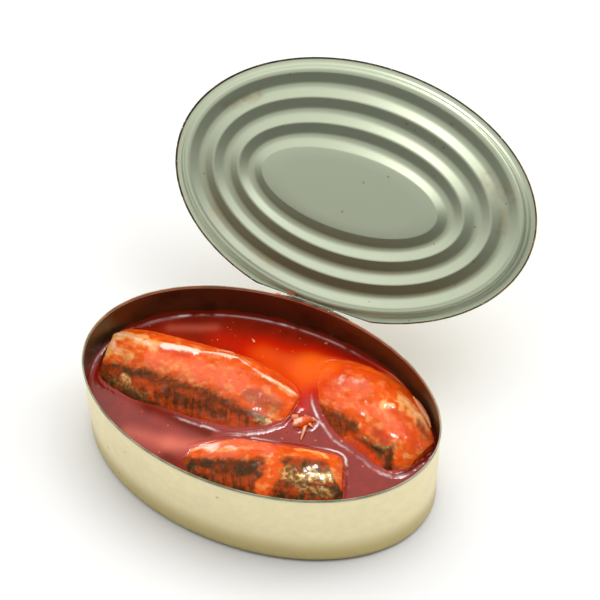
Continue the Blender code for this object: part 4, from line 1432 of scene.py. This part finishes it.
def add_light(name, place, target, size, power):
    """Square area light aimed at a point."""
    lamp = bpy.data.lights.new(name, "AREA")
    lamp.shape = "SQUARE"
    lamp.size = size
    lamp.energy = power
    light = link(name, lamp)
    light.location = place
    light.rotation_euler = (Vector(target) - Vector(place)).to_track_quat("-Z", "Y").to_euler()
    return light


def make_camera(stage):
    """Camera at the settings' place, looking down at the tin."""
    az, el, roll = stage.azimuth, stage.elevation, stage.roll
    back = Vector((math.sin(az) * math.cos(el), -math.cos(az) * math.cos(el), math.sin(el)))
    right = Vector((math.cos(az), math.sin(az), 0.0))
    up = back.cross(right)
    right_rolled = right * math.cos(roll) + up * math.sin(roll)
    up_rolled = up * math.cos(roll) - right * math.sin(roll)
    lens = bpy.data.cameras.new("camera")
    lens.sensor_width = 36.0
    lens.lens = stage.focal_mm
    lens.clip_end = 20.0
    camera = link("camera", lens)
    turned = Matrix((right_rolled, up_rolled, back)).transposed().to_4x4()
    camera.matrix_world = Matrix.Translation(Vector(stage.camera_place)) @ turned
    bpy.context.scene.camera = camera


def disc(radius, sides):
    """Points and face of a flat disc."""
    turns = [TAU * i / sides for i in range(sides)]
    return [(radius * math.cos(t), radius * math.sin(t), 0.0) for t in turns], [tuple(range(sides))]


def make_world(stage):
    """Soft light, dim in front and to the right, bright overhead; the backdrop itself shows pale."""
    world = bpy.data.worlds.new("studio")
    world.use_nodes = True
    tree = world.node_tree
    tree.nodes.clear()
    way = tree.nodes.new("ShaderNodeTexCoord").outputs["Generated"]
    toward = put(tree, "ShaderNodeVectorMath", {0: way, 1: Vector(stage.sky_way).normalized()},
                 operation="DOT_PRODUCT").outputs["Value"]
    sky = put(tree, "ShaderNodeBackground",
              {"Strength": ramp(tree, toward, 0.30, 1.0, stage.horizon_light, stage.sky_light)})
    backdrop = put(tree, "ShaderNodeBackground", {"Strength": 1.0, "Color": rgba(stage.backdrop)})
    seen = tree.nodes.new("ShaderNodeLightPath").outputs["Is Camera Ray"]
    both = put(tree, "ShaderNodeMixShader", {0: seen, 1: sky.outputs[0], 2: backdrop.outputs[0]})
    put(tree, "ShaderNodeOutputWorld", {"Surface": both.outputs[0]})
    bpy.context.scene.world = world


def make_stage(settings):
    """Pale floor, soft light and the camera."""
    scene = bpy.context.scene
    floor = add_body("floor", *disc(0.65, 96), [floor_finish(settings.stage)])
    make_world(settings.stage)
    _, fill, low, glint = [add_light(*light) for light in LIGHTS]
    fill.visible_glossy = low.visible_glossy = glint.visible_diffuse = False
    scene.view_settings.view_transform = "Standard"
    make_camera(settings.stage)


# ---------------------------------------------------------------- operators

class MACKEREL_OT_tin(bpy.types.Operator):
    """Builds the gold tin body"""

    bl_idname = "mackerel_tin.tin"
    bl_label = "Tin body"

    def execute(self, context):
        make_tin(context.scene.mackerel_tin)
        return {"FINISHED"}


class MACKEREL_OT_lid(bpy.types.Operator):
    """Builds the ribbed lid, bent back on its strip"""

    bl_idname = "mackerel_tin.lid"
    bl_label = "Lid"

    def execute(self, context):
        make_lid(context.scene.mackerel_tin)
        return {"FINISHED"}


class MACKEREL_OT_contents(bpy.types.Operator):
    """Builds the fish, the sauce they stand in and the small pieces"""

    bl_idname = "mackerel_tin.contents"
    bl_label = "Fish and sauce"

    def execute(self, context):
        settings = context.scene.mackerel_tin
        finish = mackerel_finish(settings.fish)
        fish = [make_chunk(name, spec, settings.fish, finish) for name, spec in CHUNKS.items()]
        make_sauce(settings, fish)
        make_small_pieces(settings, fish)
        return {"FINISHED"}


class MACKEREL_OT_stage(bpy.types.Operator):
    """Adds the floor, the light and the camera"""

    bl_idname = "mackerel_tin.stage"
    bl_label = "Stage"

    def execute(self, context):
        make_stage(context.scene.mackerel_tin)
        return {"FINISHED"}


class VIEW3D_PT_mackerel_tin(bpy.types.Panel):
    """Lists the pieces of the tin"""

    bl_label = "Mackerel Tin"
    bl_space_type = "VIEW_3D"
    bl_region_type = "UI"
    bl_category = "Mackerel Tin"

    def draw(self, context):
        for operator in OPERATORS:
            self.layout.operator(operator.bl_idname)


SETTINGS = (TinSettings, LidSettings, FishSettings, SauceSettings, StageSettings, MackerelTinSettings)
OPERATORS = (MACKEREL_OT_tin, MACKEREL_OT_lid, MACKEREL_OT_contents, MACKEREL_OT_stage)


def register():
    """Adds the settings, operators and panel."""
    for item in SETTINGS + OPERATORS + (VIEW3D_PT_mackerel_tin,):
        bpy.utils.register_class(item)
    bpy.types.Scene.mackerel_tin = PointerProperty(type=MackerelTinSettings)


def unregister():
    """Takes them away again."""
    del bpy.types.Scene.mackerel_tin
    for item in reversed(SETTINGS + OPERATORS + (VIEW3D_PT_mackerel_tin,)):
        bpy.utils.unregister_class(item)


def main():
    """Builds the whole tin."""
    register()
    bpy.ops.mackerel_tin.tin()
    bpy.ops.mackerel_tin.lid()
    bpy.ops.mackerel_tin.contents()
    bpy.ops.mackerel_tin.stage()


if __name__ == "__main__":
    main()
